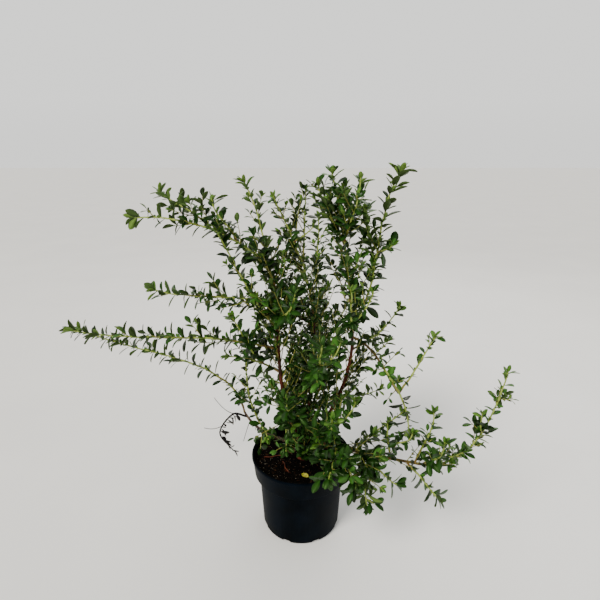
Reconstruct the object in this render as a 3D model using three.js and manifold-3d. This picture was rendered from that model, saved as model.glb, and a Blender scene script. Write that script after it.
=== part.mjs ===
// A young evergreen shrub in its round nursery pot, in millimetres, +Z up.
// The origin is the middle of the pot's flat underside, and the plant's widest side faces -Y.
// A short rootstock stands in the peat. Bare woody limbs fork from it, each one tapering limb,
// and every limb carries leafy shoots. A leafy shoot is one solid: its stem, the side stems
// that fork from it, and the twigs and leaves that a seeded rule grows on them.
import * as THREE from "three";
import { mergeVertices } from "three/addons/utils/BufferGeometryUtils.js";
import Module from "manifold-3d";

const wasm = await Module();
wasm.setup();

// Driving dimensions.
const GAP = 0.3; // clearance between neighbouring pieces
const ROUND = 30; // sides of the pot
const pot = {
  height: 153,
  lipRadius: 95,
  lipHeight: 5,
  collarRadius: 93.5,
  collarFoot: 90,
  collarHeight: 38,
  shoulderRadius: 81,
  footRadius: 75,
  footRise: 4,
  wall: 1.8,
  floor: 2.5,
};
const drain = { count: 8, width: 15, depth: 9, height: 7 };
const soil = { top: 140, edgeTop: 137, flat: 45 };
const limbShape = { sides: 6, step: 30 };
const rootstock = { foot: [4, 2], tip: [7, 3, 176], thick: [19, 15], flare: 0.35 };

// Sizes that the growing rule works from.
const leaf = { length: 30, width: 13, thick: 1, widest: 0.56, ridge: 0.3, young: 0.82, sunk: 1.5 };
const twig = {
  pitch: 40, everyNode: 3, longest: 24, shortest: 11, thick: [2.2, 1.7], lean: 52, lift: 0.25,
};
const archHandle = 0.36; // share of a stem's span that its curve's handles reach
const seatDepth = 0.3; // where in its parent a side stem starts, as a share of that thickness
const SAME_POINT = 1e-4; // vertices nearer than this are one
const shootStem = { thick: [4.2, 2.2], forkThick: [3.4, 2.2], step: 38 };
const spread = { golden: 137.5, tries: 5, ownSpace: 1.2, limbSpace: 1.4, potSpace: 1.5, leafSpace: 9 };
const rosette = { leaves: 2, lean: 50, pitch: 5 };

// Woody limbs. Each leaves its parent at a share of the parent's length and runs to its own tip.
// leave and arrive are its slopes there in degrees, and turn swings it sideways between them.
const limbs = {
  centre_stem: { from: "rootstock", at: 1, tip: [23, 20, 420], leave: 78, arrive: 92, thick: [8, 4.5] },
  left_stem: { from: "rootstock", at: 0.85, tip: [-44, -15, 480], leave: 62, arrive: 86, thick: [8, 4.5] },
  right_stem: { from: "rootstock", at: 0.9, tip: [87, 5, 448], leave: 50, arrive: 100, thick: [8, 4.5] },
  low_left_stem: {
    from: "rootstock", at: 0.6, tip: [-113, 45, 212], leave: 4, arrive: 62, thick: [7, 4.5],
  },
  low_right_stem: {
    from: "rootstock", at: 0.7, tip: [223, -80, 182], leave: 14, arrive: 6, thick: [7, 4.5],
  },
  front_stem: { from: "rootstock", at: 0.5, tip: [84, -84, 222], leave: 40, arrive: 8, thick: [6, 4] },
  back_stem: { from: "rootstock", at: 0.75, tip: [28, 105, 335], leave: 50, arrive: 78, thick: [7, 4] },
  right_bough: {
    from: "right_stem", at: 0.8, tip: [172, -38, 300], leave: -12, arrive: -50, thick: [4.5, 3.5],
  },
};

// Leafy shoots, from the top down and round the plant. A fork leaves the shoot's own stem.
const shoots = {
  upper_left_shoot: {
    from: "left_stem", at: 1, tip: [-262, -40, 607], leave: 85, arrive: -10, turn: 30,
    forks: [
      { at: 0.55, tip: [-232, 0, 646], leave: 44, arrive: 32 },
      { at: 0.4, tip: [-131, -70, 640], leave: 70, arrive: 88 },
    ],
  },
  left_upright_shoot: {
    from: "left_stem", at: 0.93, tip: [-97, 30, 660], leave: 60, arrive: 60, turn: -25,
  },
  middle_upright_shoot: {
    from: "centre_stem", at: 1, tip: [-46, 0, 638], leave: 85, arrive: 60, turn: -26,
    forks: [
      { at: 0.42, tip: [8, 62, 648], leave: 70, arrive: 72 },
      { at: 0.62, tip: [22, 20, 590], leave: 40, arrive: 70 },
    ],
  },
  mid_left_shoot: { from: "centre_stem", at: 0.93, tip: [-262, 12, 476], leave: 50, arrive: 16 },
  low_left_upper_shoot: {
    from: "left_stem", at: 0.66, tip: [-384, -50, 425], leave: 24, arrive: 12, turn: 8,
  },
  low_left_shoot: { from: "low_left_stem", at: 1, tip: [-422, 52, 388], leave: 80, arrive: 34, turn: -12 },
  inner_left_shoot: {
    from: "left_stem", at: 0.52, tip: [-138, 20, 345], leave: 20, arrive: 2, turn: -12,
    forks: [{ at: 0.3, tip: [-112, -62, 452], leave: 40, arrive: 55 }],
  },
  rim_left_shoot: {
    from: "low_left_stem", at: 0.55, tip: [-98, 5, 356], leave: 60, arrive: 100,
    forks: [{ at: 0.2, tip: [-60, -44, 208], leave: 10, arrive: -20 }],
  },
  top_shoot: {
    from: "right_stem", at: 1, tip: [47, -20, 676], leave: 84, arrive: 68, turn: -14,
    forks: [
      { at: 0.45, tip: [27, 40, 656], leave: 60, arrive: 70 },
      { at: 0.5, tip: [88, -54, 668], leave: 60, arrive: 85 },
    ],
  },
  tall_right_shoot: {
    from: "right_stem", at: 0.88, tip: [162, 12, 678], leave: 60, arrive: 55, turn: -24,
    forks: [
      { at: 0.42, tip: [112, 40, 612], leave: 70, arrive: 100 },
      { at: 0.5, tip: [150, -20, 560], leave: 30, arrive: 50 },
    ],
  },
  upper_right_shoot: {
    from: "right_stem", at: 0.72, tip: [180, 34, 438], leave: 5, arrive: 70, turn: 20,
    forks: [{ at: 0.35, tip: [158, 75, 380], leave: 0, arrive: 50 }],
  },
  right_shoot: { from: "right_bough", at: 1, tip: [224, -50, 414], leave: 60, arrive: 66 },
  mid_right_shoot: { from: "right_bough", at: 0.55, tip: [150, -120, 372], leave: 10, arrive: 60 },
  far_right_shoot: {
    from: "low_right_stem", at: 1, tip: [343, -70, 360], leave: 8, arrive: 80, turn: -16,
    forks: [
      { at: 0.5, tip: [296, -100, 300], leave: 20, arrive: 80 },
      { at: 0.75, tip: [362, -40, 300], leave: 30, arrive: 60 },
    ],
  },
  right_rising_shoot: { from: "low_right_stem", at: 0.9, tip: [228, -66, 282], leave: 70, arrive: 100 },
  right_outer_shoot: {
    from: "low_right_stem", at: 0.96, tip: [226, -140, 270], leave: 50, arrive: 90,
    forks: [{ at: 0.4, tip: [268, -120, 246], leave: 40, arrive: 80 }],
  },
  right_inner_shoot: {
    from: "low_right_stem", at: 0.72, tip: [152, -58, 256], leave: 70, arrive: 90,
    forks: [{ at: 0.3, tip: [186, -100, 262], leave: 60, arrive: 85 }],
  },
  right_hanging_shoot: { from: "low_right_stem", at: 0.84, tip: [236, -118, 140], leave: -25, arrive: -30 },
  right_low_shoot: {
    from: "low_right_stem", at: 0.4, tip: [190, -14, 250], leave: 20, arrive: 55, turn: 30,
  },
  front_right_shoot: {
    from: "front_stem", at: 1, tip: [160, -122, 176], leave: 0, arrive: -12,
    forks: [{ at: 0.25, tip: [110, -130, 138], leave: -20, arrive: -50 }],
  },
  front_shoot: {
    from: "front_stem", at: 0.8, tip: [44, -146, 206], leave: 25, arrive: -20,
    forks: [{ at: 0.3, tip: [92, -136, 186], leave: -5, arrive: -30 }],
  },
  front_rising_shoot: {
    from: "front_stem", at: 0.6, tip: [46, -160, 324], leave: 65, arrive: 65,
    forks: [{ at: 0.35, tip: [82, -140, 346], leave: 60, arrive: 80 }],
  },
  front_left_shoot: {
    from: "left_stem", at: 0.3, tip: [-22, -130, 334], leave: 20, arrive: 65,
    forks: [{ at: 0.25, tip: [-26, -84, 214], leave: -10, arrive: -20 }],
  },
  middle_front_shoot: {
    from: "centre_stem", at: 0.55, tip: [27, -185, 455], leave: 30, arrive: 60, seed: 71,
    forks: [{ at: 0.35, tip: [62, -100, 425], leave: 50, arrive: 75 }],
  },
  middle_left_shoot: { from: "left_stem", at: 0.85, tip: [-8, -120, 508], leave: 25, arrive: 60 },
  middle_right_shoot: {
    from: "right_stem", at: 0.84, tip: [70, -138, 520], leave: 30, arrive: 65,
    forks: [{ at: 0.3, tip: [112, -76, 500], leave: 55, arrive: 78 }],
  },
  back_upright_shoot: {
    from: "back_stem", at: 1, tip: [34, 140, 588], leave: 80, arrive: 84,
    forks: [{ at: 0.35, tip: [-20, 178, 518], leave: 55, arrive: 70 }],
  },
  back_right_shoot: { from: "back_stem", at: 0.85, tip: [130, 180, 482], leave: 35, arrive: 62 },
  back_middle_shoot: { from: "back_stem", at: 0.9, tip: [56, 235, 412], leave: 20, arrive: 55 },
  back_left_shoot: { from: "back_stem", at: 0.75, tip: [-96, 195, 362], leave: 25, arrive: 50 },
  back_outer_right_shoot: { from: "back_stem", at: 0.55, tip: [196, 180, 312], leave: 20, arrive: 45 },
  back_low_left_shoot: { from: "back_stem", at: 0.4, tip: [-92, 205, 222], leave: 12, arrive: 10 },
  back_low_shoot: { from: "back_stem", at: 0.45, tip: [36, 245, 190], leave: 15, arrive: -15 },
  back_low_right_shoot: { from: "back_stem", at: 0.3, tip: [180, 160, 200], leave: 22, arrive: 5 },
  second_left_shoot: { from: "left_stem", at: 0.79, tip: [-129, -66, 592], leave: 50, arrive: 62 },
  right_drooping_shoot: {
    from: "right_bough", at: 0.78, tip: [186, -74, 244], leave: -20, arrive: -85,
  },
};

// The black, dried shoot that hangs from the low left stem, with its withered leaves and threads.
const dead = {
  from: "low_left_stem",
  at: 0.93,
  crook: [-157, 20, 184],
  tip: [-130, 0, 152],
  bulge: [-150, 32, 222],
  thick: [3.2, 1.6],
  threadThick: [1.5, 1.1],
  leaves: 9,
  leafLength: 15,
  leafWidth: 4.5,
  threads: [
    { at: 0.3, tip: [-172, 18, 248], sag: 12 },
    { at: 0.55, tip: [-186, 8, 190], sag: -10 },
  ],
};

const colours = {
  pot: { color: 0x1b1d1f, roughness: 0.55, metalness: 0 },
  soil: { color: 0x2b2019, roughness: 0.95, metalness: 0 },
  bark: { color: 0x5a3424, roughness: 0.8, metalness: 0 },
  leaf: { color: 0x3f6b22, roughness: 0.45, metalness: 0 },
  dead: { color: 0x15110f, roughness: 0.9, metalness: 0 },
};

// A closed geometry as a solid that can be joined and cut.
function solidOf(geometry) {
  const bare = geometry.clone();
  bare.deleteAttribute("normal");
  bare.deleteAttribute("uv");
  const merged = mergeVertices(bare, SAME_POINT);
  return new wasm.Manifold(
    new wasm.Mesh({
      numProp: 3,
      vertProperties: merged.attributes.position.array,
      triVerts: new Uint32Array(merged.index.array),
    }),
  );
}

// The largest body of a solid: what a cut leaves loose beside it is dropped.
function largestBody(solid) {
  return solid.decompose().reduce((a, b) => (b.volume() > a.volume() ? b : a));
}

function joined(solids) {
  return solids.reduce((a, b) => a.add(b));
}

const group = new THREE.Group();

function place(name, solid, finish) {
  const { vertProperties, triVerts } = solid.getMesh();
  const geometry = new THREE.BufferGeometry();
  geometry.setAttribute("position", new THREE.BufferAttribute(vertProperties, 3));
  geometry.setIndex(new THREE.BufferAttribute(triVerts, 1));
  geometry.computeVertexNormals();
  const mesh = new THREE.Mesh(geometry, new THREE.MeshStandardMaterial(colours[finish]));
  mesh.name = name;
  group.add(mesh);
}

const vector = (spot) => new THREE.Vector3(...spot);
const radians = THREE.MathUtils.degToRad;
const UP = new THREE.Vector3(0, 0, 1);

// A repeatable source of numbers between 0 and 1.
function seeded(seed) {
  let state = seed * 2654435761;
  return () => {
    state = (state + 0x6d2b79f5) | 0;
    let mixed = Math.imul(state ^ (state >>> 15), 1 | state);
    mixed = (mixed + Math.imul(mixed ^ (mixed >>> 7), 61 | mixed)) ^ mixed;
    return ((mixed ^ (mixed >>> 14)) >>> 0) / 4294967296;
  };
}

// A round body turned from a profile of [radius, height] points that starts and ends on the axis.
function turned(profile) {
  const points = profile.map(([radius, height]) => new THREE.Vector2(radius, height));
  return solidOf(new THREE.LatheGeometry(points, ROUND).rotateX(Math.PI / 2));
}

const collarBase = pot.height - pot.collarHeight;
const innerFoot = pot.footRadius - pot.wall;
const innerShoulder = pot.shoulderRadius - pot.wall;
const innerLip = pot.collarRadius - pot.wall;

// The pot: a thin moulded shell with a flat foot, a sloping wall, a step out to a deep collar
// and a thicker lip. The drainage notches are cut through the corner of the foot.
function makePot() {
  const shell = turned([
    [0, 0],
    [pot.footRadius - pot.footRise / 2, 0],
    [pot.footRadius, pot.footRise],
    [pot.shoulderRadius, collarBase],
    [pot.collarFoot, collarBase],
    [pot.collarRadius, pot.height - pot.lipHeight],
    [pot.lipRadius, pot.height - pot.lipHeight],
    [pot.lipRadius, pot.height],
    [innerLip, pot.height],
    [pot.collarFoot - pot.wall, collarBase + pot.wall],
    [innerShoulder, collarBase + pot.wall],
    [innerFoot, pot.floor],
    [0, pot.floor],
  ]);
  const notches = [];
  for (let i = 0; i < drain.count; i++) {
    const notch = new THREE.BoxGeometry(drain.depth, drain.width, 2 * drain.height);
    notch.translate(pot.footRadius - drain.depth / 2 + 2, 0, 0);
    notch.rotateZ(((i + 0.5) * 2 * Math.PI) / drain.count);
    notches.push(solidOf(notch));
  }
  return shell.subtract(joined(notches));
}

// The peat fills the pot to a little below the lip, flat where the rootstock stands.
function makeSoil() {
  const wallAt = (height) => {
    const share = (height - pot.floor) / (collarBase + pot.wall - pot.floor);
    return innerFoot + share * (innerShoulder - innerFoot) - GAP;
  };
  const stepTop = collarBase + pot.wall + GAP;
  return turned([
    [0, pot.floor + GAP],
    [wallAt(pot.floor + GAP), pot.floor + GAP],
    [wallAt(stepTop), stepTop],
    [pot.collarFoot - pot.wall - GAP, stepTop],
    [pot.collarFoot - pot.wall - GAP + 1, soil.edgeTop],
    [soil.flat, soil.top],
    [0, soil.top],
  ]);
}

// The arch of a stem from its foot to its tip, in the upright plane through both, swung by turn.
function arch(foot, tip, { leave, arrive, turn = 0 }) {
  const along = tip.clone().sub(foot);
  const heading = Math.atan2(along.y, along.x);
  const handle = along.length() * archHandle;
  const slope = (angle, swing) => {
    const flat = Math.cos(radians(angle)) * handle;
    const direction = heading + radians(swing);
    return new THREE.Vector3(
      flat * Math.cos(direction),
      flat * Math.sin(direction),
      handle * Math.sin(radians(angle)),
    );
  };
  return new THREE.CubicBezierCurve3(
    foot,
    foot.clone().add(slope(leave, turn)),
    tip.clone().sub(slope(arrive, -turn)),
    tip,
  );
}

// A round rod bent along a curve in straight steps; thickAt gives its thickness along it.
function bentRod(curve, thickAt, sides, steps, grown = 0) {
  const frames = curve.computeFrenetFrames(steps, false);
  const rod = new THREE.CylinderGeometry(1, 1, 1, sides, steps);
  const spot = rod.attributes.position;
  const point = new THREE.Vector3();
  for (let i = 0; i < spot.count; i++) {
    const ring = Math.round((spot.getY(i) + 0.5) * steps);
    const share = ring / steps;
    const radius = thickAt(share) / 2 + grown;
    curve.getPointAt(share, point);
    point.addScaledVector(frames.normals[ring], spot.getX(i) * radius);
    point.addScaledVector(frames.binormals[ring], -spot.getZ(i) * radius);
    if (ring === 0) point.addScaledVector(frames.tangents[ring], -grown);
    if (ring === steps) point.addScaledVector(frames.tangents[ring], grown);
    spot.setXYZ(i, point.x, point.y, point.z);
  }
  return solidOf(rod);
}

const tapering = ([foot, tip]) => (share) => foot + (tip - foot) * share;

// Each limb keeps its curve, its thickness and a sheath, which is the limb grown by the gap.
const wood = new Map();

function addLimb(name, curve, thickAt) {
  const steps = Math.round(curve.getLength() / limbShape.step);
  const sheathGap = GAP / Math.cos(Math.PI / limbShape.sides) + 0.05;
  const body = bentRod(curve, thickAt, limbShape.sides, steps);
  const sheath = bentRod(curve, thickAt, limbShape.sides, steps, sheathGap);
  const clear = [...wood.values()].reduce((rest, other) => rest.subtract(other.sheath), body);
  wood.set(name, { curve, thickAt, sheath, path: curve.getSpacedPoints(steps) });
  place(name, largestBody(clear), "bark");
}

// Where a stem leaves its parent: at the parent's end, or on the side that faces its own tip.
function footOn(parentName, share, tip) {
  const parent = wood.get(parentName);
  const point = parent.curve.getPointAt(share);
  const tangent = parent.curve.getTangentAt(share);
  if (share === 1) return point.addScaledVector(tangent, GAP);
  const side = tip.clone().sub(point);
  side.addScaledVector(tangent, -side.dot(tangent)).normalize();
  return point.addScaledVector(side, parent.thickAt(share) * seatDepth);
}

function makeRootstock() {
  const foot = new THREE.Vector3(...rootstock.foot, soil.top + GAP);
  const curve = new THREE.LineCurve3(foot, vector(rootstock.tip));
  const taper = tapering(rootstock.thick);
  const flared = (share) => taper(share) * (1 + rootstock.flare * (1 - share) ** 3);
  const flatCut = new THREE.BoxGeometry(100, 100, 20);
  flatCut.translate(...rootstock.foot, soil.top + GAP - 10);
  const body = bentRod(curve, flared, 8, 4).subtract(solidOf(flatCut));
  const sheath = bentRod(curve, flared, 8, 4, GAP + 0.1);
  wood.set("rootstock", { curve, thickAt: flared, sheath, path: curve.getSpacedPoints(4) });
  place("rootstock", body, "bark");
}

place("pot", makePot(), "pot");
place("soil", makeSoil(), "soil");
makeRootstock();
for (const [name, size] of Object.entries(limbs)) {
  const tip = vector(size.tip);
  const curve = arch(footOn(size.from, size.at, tip), tip, size);
  addLimb(name, curve, tapering(size.thick));
}

// Every leafy shoot's stems are laid out first, so that each shoot knows its own space:
// the places that lie nearer to its stems than to any other shoot's.
const stemsOf = new Map();
for (const [name, size] of Object.entries(shoots)) {
  const tip = vector(size.tip);
  const stem = { curve: arch(footOn(size.from, size.at, tip), tip, size), from: 0 };
  const forks = (size.forks ?? []).map((fork) => {
    const foot = stem.curve.getPointAt(fork.at);
    return { curve: arch(foot, vector(fork.tip), fork), from: fork.at };
  });
  const stems = [stem, ...forks];
  for (const each of stems) {
    each.steps = Math.max(2, Math.round(each.curve.getLength() / shootStem.step));
    each.path = each.curve.getSpacedPoints(each.steps);
  }
  stemsOf.set(name, stems);
}

// How far a point lies from a path of straight pieces.
const reachLine = new THREE.Line3();
const nearest = new THREE.Vector3();
function distanceTo(path, point) {
  let least = Infinity;
  for (let i = 1; i < path.length; i++) {
    reachLine.set(path[i - 1], path[i]);
    reachLine.closestPointToPoint(point, true, nearest);
    least = Math.min(least, nearest.distanceToSquared(point));
  }
  return Math.sqrt(least);
}

function clearOfPot(point) {
  const radius = Math.hypot(point.x, point.y);
  if (radius < innerLip - spread.potSpace) return point.z > soil.top + spread.potSpace;
  if (radius < pot.lipRadius + spread.potSpace) return point.z > pot.height + spread.potSpace;
  return true;
}

function clearOfLimbs(point) {
  return [...wood.values()].every(
    ({ path, thickAt }) => distanceTo(path, point) > thickAt(0) / 2 + spread.limbSpace,
  );
}

function inOwnSpace(name, point) {
  const own = Math.min(...stemsOf.get(name).map((stem) => distanceTo(stem.path, point)));
  for (const [other, stems] of stemsOf)
    if (other !== name && stems.some((stem) => distanceTo(stem.path, point) < own + spread.ownSpace))
      return false;
  return true;
}

const fits = (name, points) =>
  points.every((point) => clearOfPot(point) && clearOfLimbs(point) && inOwnSpace(name, point));

// A leaf is a thin eight-faced blade, widest past its middle and ridged near its root.
const blade = new THREE.OctahedronGeometry(0.5).translate(0.5, 0, 0);
for (let i = 0; i < blade.attributes.position.count; i++) {
  const spot = blade.attributes.position;
  if (Math.abs(spot.getY(i)) > 0.1) spot.setX(i, leaf.widest);
  if (Math.abs(spot.getZ(i)) > 0.1) spot.setX(i, leaf.ridge);
}

function makeLeaf(root, direction, face, length, width) {
  const across = face.clone().cross(direction).normalize();
  const normal = direction.clone().cross(across).normalize();
  const turn = new THREE.Matrix4().makeBasis(direction, across, normal).setPosition(root);
  const size = new THREE.Matrix4().makeScale(length, width, leaf.thick);
  return blade.clone().applyMatrix4(turn.multiply(size));
}

// The points of a leaf or twig that have to keep to the shoot's space: all but its root.
function outerPoints(geometry, root) {
  const spot = geometry.attributes.position;
  const points = [];
  for (let i = 0; i < spot.count; i++) {
    const point = new THREE.Vector3().fromBufferAttribute(spot, i);
    if (point.distanceTo(root) < 4) continue;
    if (!points.some((other) => other.distanceTo(point) < 0.1)) points.push(point);
  }
  const middles = points.map((point) => point.clone().lerp(root, 0.35));
  return [...points, ...middles.filter((point) => point.distanceTo(root) > 5)];
}

// One leaf, its root sunk to the middle of its stem or twig, leaning out from it by an angle.
// It is skipped where another leaf's middle is too near.
const middles = [];
function addLeaf(name, solids, root, along, around, lean, length) {
  const direction = along.clone().multiplyScalar(Math.cos(radians(lean)));
  direction.addScaledVector(around, Math.sin(radians(lean))).normalize();
  const middle = root.clone().addScaledVector(direction, length * leaf.widest);
  if (middles.some((other) => other.distanceTo(middle) < spread.leafSpace)) return false;
  const face = along.clone().addScaledVector(UP, 0.6);
  const made = makeLeaf(root, direction, face, length, (leaf.width * length) / leaf.length);
  if (!fits(name, outerPoints(made, root))) return false;
  middles.push(middle);
  solids.push(solidOf(made));
  return true;
}

function sideways(along, angle) {
  const first = new THREE.Vector3(0.31, 0.17, 1).cross(along).normalize();
  return first.applyAxisAngle(along, radians(angle));
}

// A twig with its leaves: one leaf goes on along it and one stands out on its side.
function addTwig(name, solids, root, along, angle, length, random) {
  const size = leaf.length * (0.85 + 0.3 * random());
  const turn = 90 + 60 * random();
  for (let attempt = 0; attempt < spread.tries; attempt++) {
    const around = sideways(along, angle + (attempt * 360) / spread.tries);
    const direction = along.clone().multiplyScalar(Math.cos(radians(twig.lean)));
    direction.addScaledVector(around, Math.sin(radians(twig.lean)));
    direction.addScaledVector(UP, twig.lift).normalize();
    const end = root.clone().addScaledVector(direction, length);
    if (!fits(name, [end, root.clone().lerp(end, 0.6)])) continue;
    const leaves = [];
    const side = sideways(direction, turn);
    addLeaf(name, leaves, end.clone().addScaledVector(direction, -leaf.sunk), direction, side, 8, size);
    addLeaf(name, leaves, end.clone().lerp(root, 0.45), direction, side.negate(), 58, size * 0.9);
    if (!leaves.length) continue;
    solids.push(bentRod(new THREE.LineCurve3(root, end), tapering(twig.thick), 3, 1), ...leaves);
    return;
  }
}

// The point at a share of a path's length, on its straight pieces.
function pointOn(path, share) {
  const place = Math.min(share, 0.9999) * (path.length - 1);
  const piece = Math.floor(place);
  return path[piece].clone().lerp(path[piece + 1], place - piece);
}

// A single leaf straight on the stem, on the first side where it fits.
function addStemLeaf(name, solids, root, along, angle, length) {
  for (let attempt = 0; attempt < spread.tries; attempt++) {
    const around = sideways(along, angle + (attempt * 360) / spread.tries);
    if (addLeaf(name, solids, root, along, around, twig.lean, length)) return;
  }
}

// One stem of a shoot, with twigs and single leaves by turns, and a rosette at its tip.
function addStem(name, solids, { curve, path, steps, from }, random) {
  const length = curve.getLength();
  solids.push(bentRod(curve, tapering(from === 0 ? shootStem.thick : shootStem.forkThick), 3, steps));
  const nodes = Math.max(1, Math.round((length - twig.pitch / 2) / twig.pitch));
  for (let i = 0; i < nodes; i++) {
    const share = (i + 0.5 + 0.2 * random()) / (nodes + 0.35);
    const root = pointOn(path, share);
    const along = curve.getTangentAt(share);
    const angle = (i + from * 7) * spread.golden;
    const reach = twig.shortest + (twig.longest - twig.shortest) * (1 - share) * (0.6 + 0.4 * random());
    if (i % twig.everyNode) addStemLeaf(name, solids, root, along, angle, leaf.length);
    else addTwig(name, solids, root, along, angle, reach, random);
  }
  const tip = curve.getPointAt(1);
  const along = curve.getTangentAt(1);
  const start = 360 * random();
  const last = tip.clone().addScaledVector(along, -leaf.sunk);
  addLeaf(name, solids, last, along, sideways(along, start), 4, leaf.length * leaf.young);
  for (let i = 0; i < rosette.leaves; i++) {
    const root = pointOn(path, 1 - (rosette.pitch * (i + 0.8)) / length);
    const around = sideways(along, start + (i * 360) / rosette.leaves);
    addLeaf(name, solids, root, along, around, rosette.lean, leaf.length * leaf.young);
  }
}

function makeShoot(name, number) {
  const random = seeded(shoots[name].seed ?? number + 1);
  const solids = [];
  stemsOf.get(name).forEach((stem) => addStem(name, solids, stem, random));
  const whole = joined(solids).subtract(wood.get(shoots[name].from).sheath);
  place(name, largestBody(whole), "leaf");
}

Object.keys(shoots).forEach(makeShoot);

// The dried shoot: a crooked black stem with withered leaves on its inner side and two threads.
function makeDeadShoot() {
  const foot = footOn(dead.from, dead.at, vector(dead.bulge));
  const route = [dead.bulge, dead.crook, dead.tip].map(vector);
  const curve = new THREE.CatmullRomCurve3([foot, ...route]);
  const solids = [bentRod(curve, tapering(dead.thick), 4, 9)];
  for (let i = 0; i < dead.leaves; i++) {
    const share = 0.3 + (0.7 * i) / (dead.leaves - 1);
    const root = curve.getPointAt(share);
    const along = curve.getTangentAt(Math.min(share, 0.98));
    const direction = new THREE.Vector3(0.5, -0.1, -0.8 + 0.3 * (i % 2)).normalize();
    const sunk = root.clone().addScaledVector(direction, -dead.thick[1] * 0.4);
    solids.push(solidOf(makeLeaf(sunk, direction, along, dead.leafLength, dead.leafWidth)));
  }
  for (const thread of dead.threads) {
    const root = curve.getPointAt(thread.at);
    const tip = vector(thread.tip);
    const middle = root.clone().lerp(tip, 0.5).addScaledVector(UP, thread.sag);
    const line = new THREE.QuadraticBezierCurve3(root, middle, tip);
    solids.push(bentRod(line, tapering(dead.threadThick), 3, 3));
  }
  const whole = joined(solids).subtract(wood.get(dead.from).sheath);
  place("dead_shoot", largestBody(whole), "dead");
}
makeDeadShoot();

export default group;
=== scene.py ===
import itertools
import math
import random

import bpy
import numpy as np
from mathutils import Matrix, Quaternion, Vector, noise

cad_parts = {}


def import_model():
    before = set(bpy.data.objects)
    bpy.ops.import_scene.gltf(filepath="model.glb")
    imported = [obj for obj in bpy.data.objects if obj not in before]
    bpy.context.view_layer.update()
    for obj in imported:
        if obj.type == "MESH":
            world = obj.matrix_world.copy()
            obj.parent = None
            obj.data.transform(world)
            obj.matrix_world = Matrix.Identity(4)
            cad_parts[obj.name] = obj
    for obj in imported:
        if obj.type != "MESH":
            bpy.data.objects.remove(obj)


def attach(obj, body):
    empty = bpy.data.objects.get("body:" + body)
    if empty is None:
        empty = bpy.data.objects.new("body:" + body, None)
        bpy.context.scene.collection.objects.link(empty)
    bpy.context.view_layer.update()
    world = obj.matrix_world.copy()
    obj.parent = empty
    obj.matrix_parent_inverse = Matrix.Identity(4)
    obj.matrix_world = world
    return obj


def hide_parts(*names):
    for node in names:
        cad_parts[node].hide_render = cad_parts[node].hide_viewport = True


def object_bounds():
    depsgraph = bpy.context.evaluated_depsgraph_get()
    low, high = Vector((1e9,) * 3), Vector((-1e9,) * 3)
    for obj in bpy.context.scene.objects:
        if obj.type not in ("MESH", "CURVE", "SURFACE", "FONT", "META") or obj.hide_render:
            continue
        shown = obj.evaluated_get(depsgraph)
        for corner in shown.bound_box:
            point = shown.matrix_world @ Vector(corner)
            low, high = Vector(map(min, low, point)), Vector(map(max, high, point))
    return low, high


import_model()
solids_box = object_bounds()
scene = bpy.context.scene

# The stand. The plant was photographed from a little above its top, so the camera looks down
# on it. A pale floor and large soft lights stand in for the bright room.
TILT = 17.66
camera_data = bpy.data.cameras.new("camera")
camera_data.lens = 27
camera_data.sensor_width = 36
camera = bpy.data.objects.new("camera", camera_data)
camera.location = (-0.002, -0.745, 0.698)
camera.rotation_euler = (math.radians(90 - TILT), 0, 0)
scene.collection.objects.link(camera)
scene.camera = camera


def linear(code):
    """The linear colour of a six-digit code such as a paint chart's."""
    parts = [int(code[i : i + 2], 16) / 255 for i in (0, 2, 4)]
    return [p / 12.92 if p <= 0.04045 else ((p + 0.055) / 1.055) ** 2.4 for p in parts] + [1]


def preset(node, **values):
    """A node with some inputs set; an underscore stands for a space in an input's name."""
    for label, value in values.items():
        node.inputs[label.replace("_", " ")].default_value = value
    return node


def new_node(tree, kind, **values):
    return preset(tree.nodes.new(kind), **values)


def new_material(name, roughness, gloss=0.3):
    """A material with its node tree and its surface shader."""
    material = bpy.data.materials.new(name)
    material.use_nodes = True
    shader = material.node_tree.nodes["Principled BSDF"]
    preset(shader, Roughness=roughness, Specular_IOR_Level=gloss)
    return material, material.node_tree, shader


def wire(tree, *joins):
    """Joins nodes; each join is a node and its output, then a node and its input."""
    for source, output, target, into in joins:
        tree.links.new(source.outputs[output], target.inputs[into])


CLOUDS = (0.32, 0.68)


def mottled(tree, codes, scale, detail=3.0, stretch=(1, 1, 1)):
    """A colour that wanders between the given codes on the object's own coordinates."""
    place = new_node(tree, "ShaderNodeTexCoord")
    mapping = new_node(tree, "ShaderNodeMapping", Scale=stretch)
    clouds = new_node(tree, "ShaderNodeTexNoise", Scale=scale, Detail=detail)
    ramp = new_node(tree, "ShaderNodeValToRGB")
    stops = ramp.color_ramp.elements
    low, high = CLOUDS
    stops[0].position, stops[1].position = low, high
    stops[0].color, stops[1].color = linear(codes[0]), linear(codes[-1])
    for i, code in enumerate(codes[1:-1], 1):
        stops.new(low + (high - low) * i / (len(codes) - 1)).color = linear(code)
    wire(tree, (place, "Object", mapping, "Vector"), (mapping, "Vector", clouds, "Vector"))
    wire(tree, (clouds, "Fac", ramp, "Fac"))
    return ramp.outputs["Color"], clouds.outputs["Fac"]


def roughened(tree, shader, height, depth, strength):
    """A fine relief on a shader, from a height that varies over the surface."""
    bump = new_node(tree, "ShaderNodeBump", Strength=strength, Distance=depth)
    tree.links.new(height, bump.inputs["Height"])
    wire(tree, (bump, "Normal", shader, "Normal"))


def painted(name, roughness, codes, scale, detail=3.0, stretch=(1, 1, 1), gloss=0.3, relief=None):
    """A mottled material; a relief, if any, is its depth in metres and its strength."""
    material, tree, shader = new_material(name, roughness, gloss)
    colour, grain = mottled(tree, codes, scale, detail, stretch)
    tree.links.new(colour, shader.inputs["Base Color"])
    if relief:
        roughened(tree, shader, grain, *relief)
    return material


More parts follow.
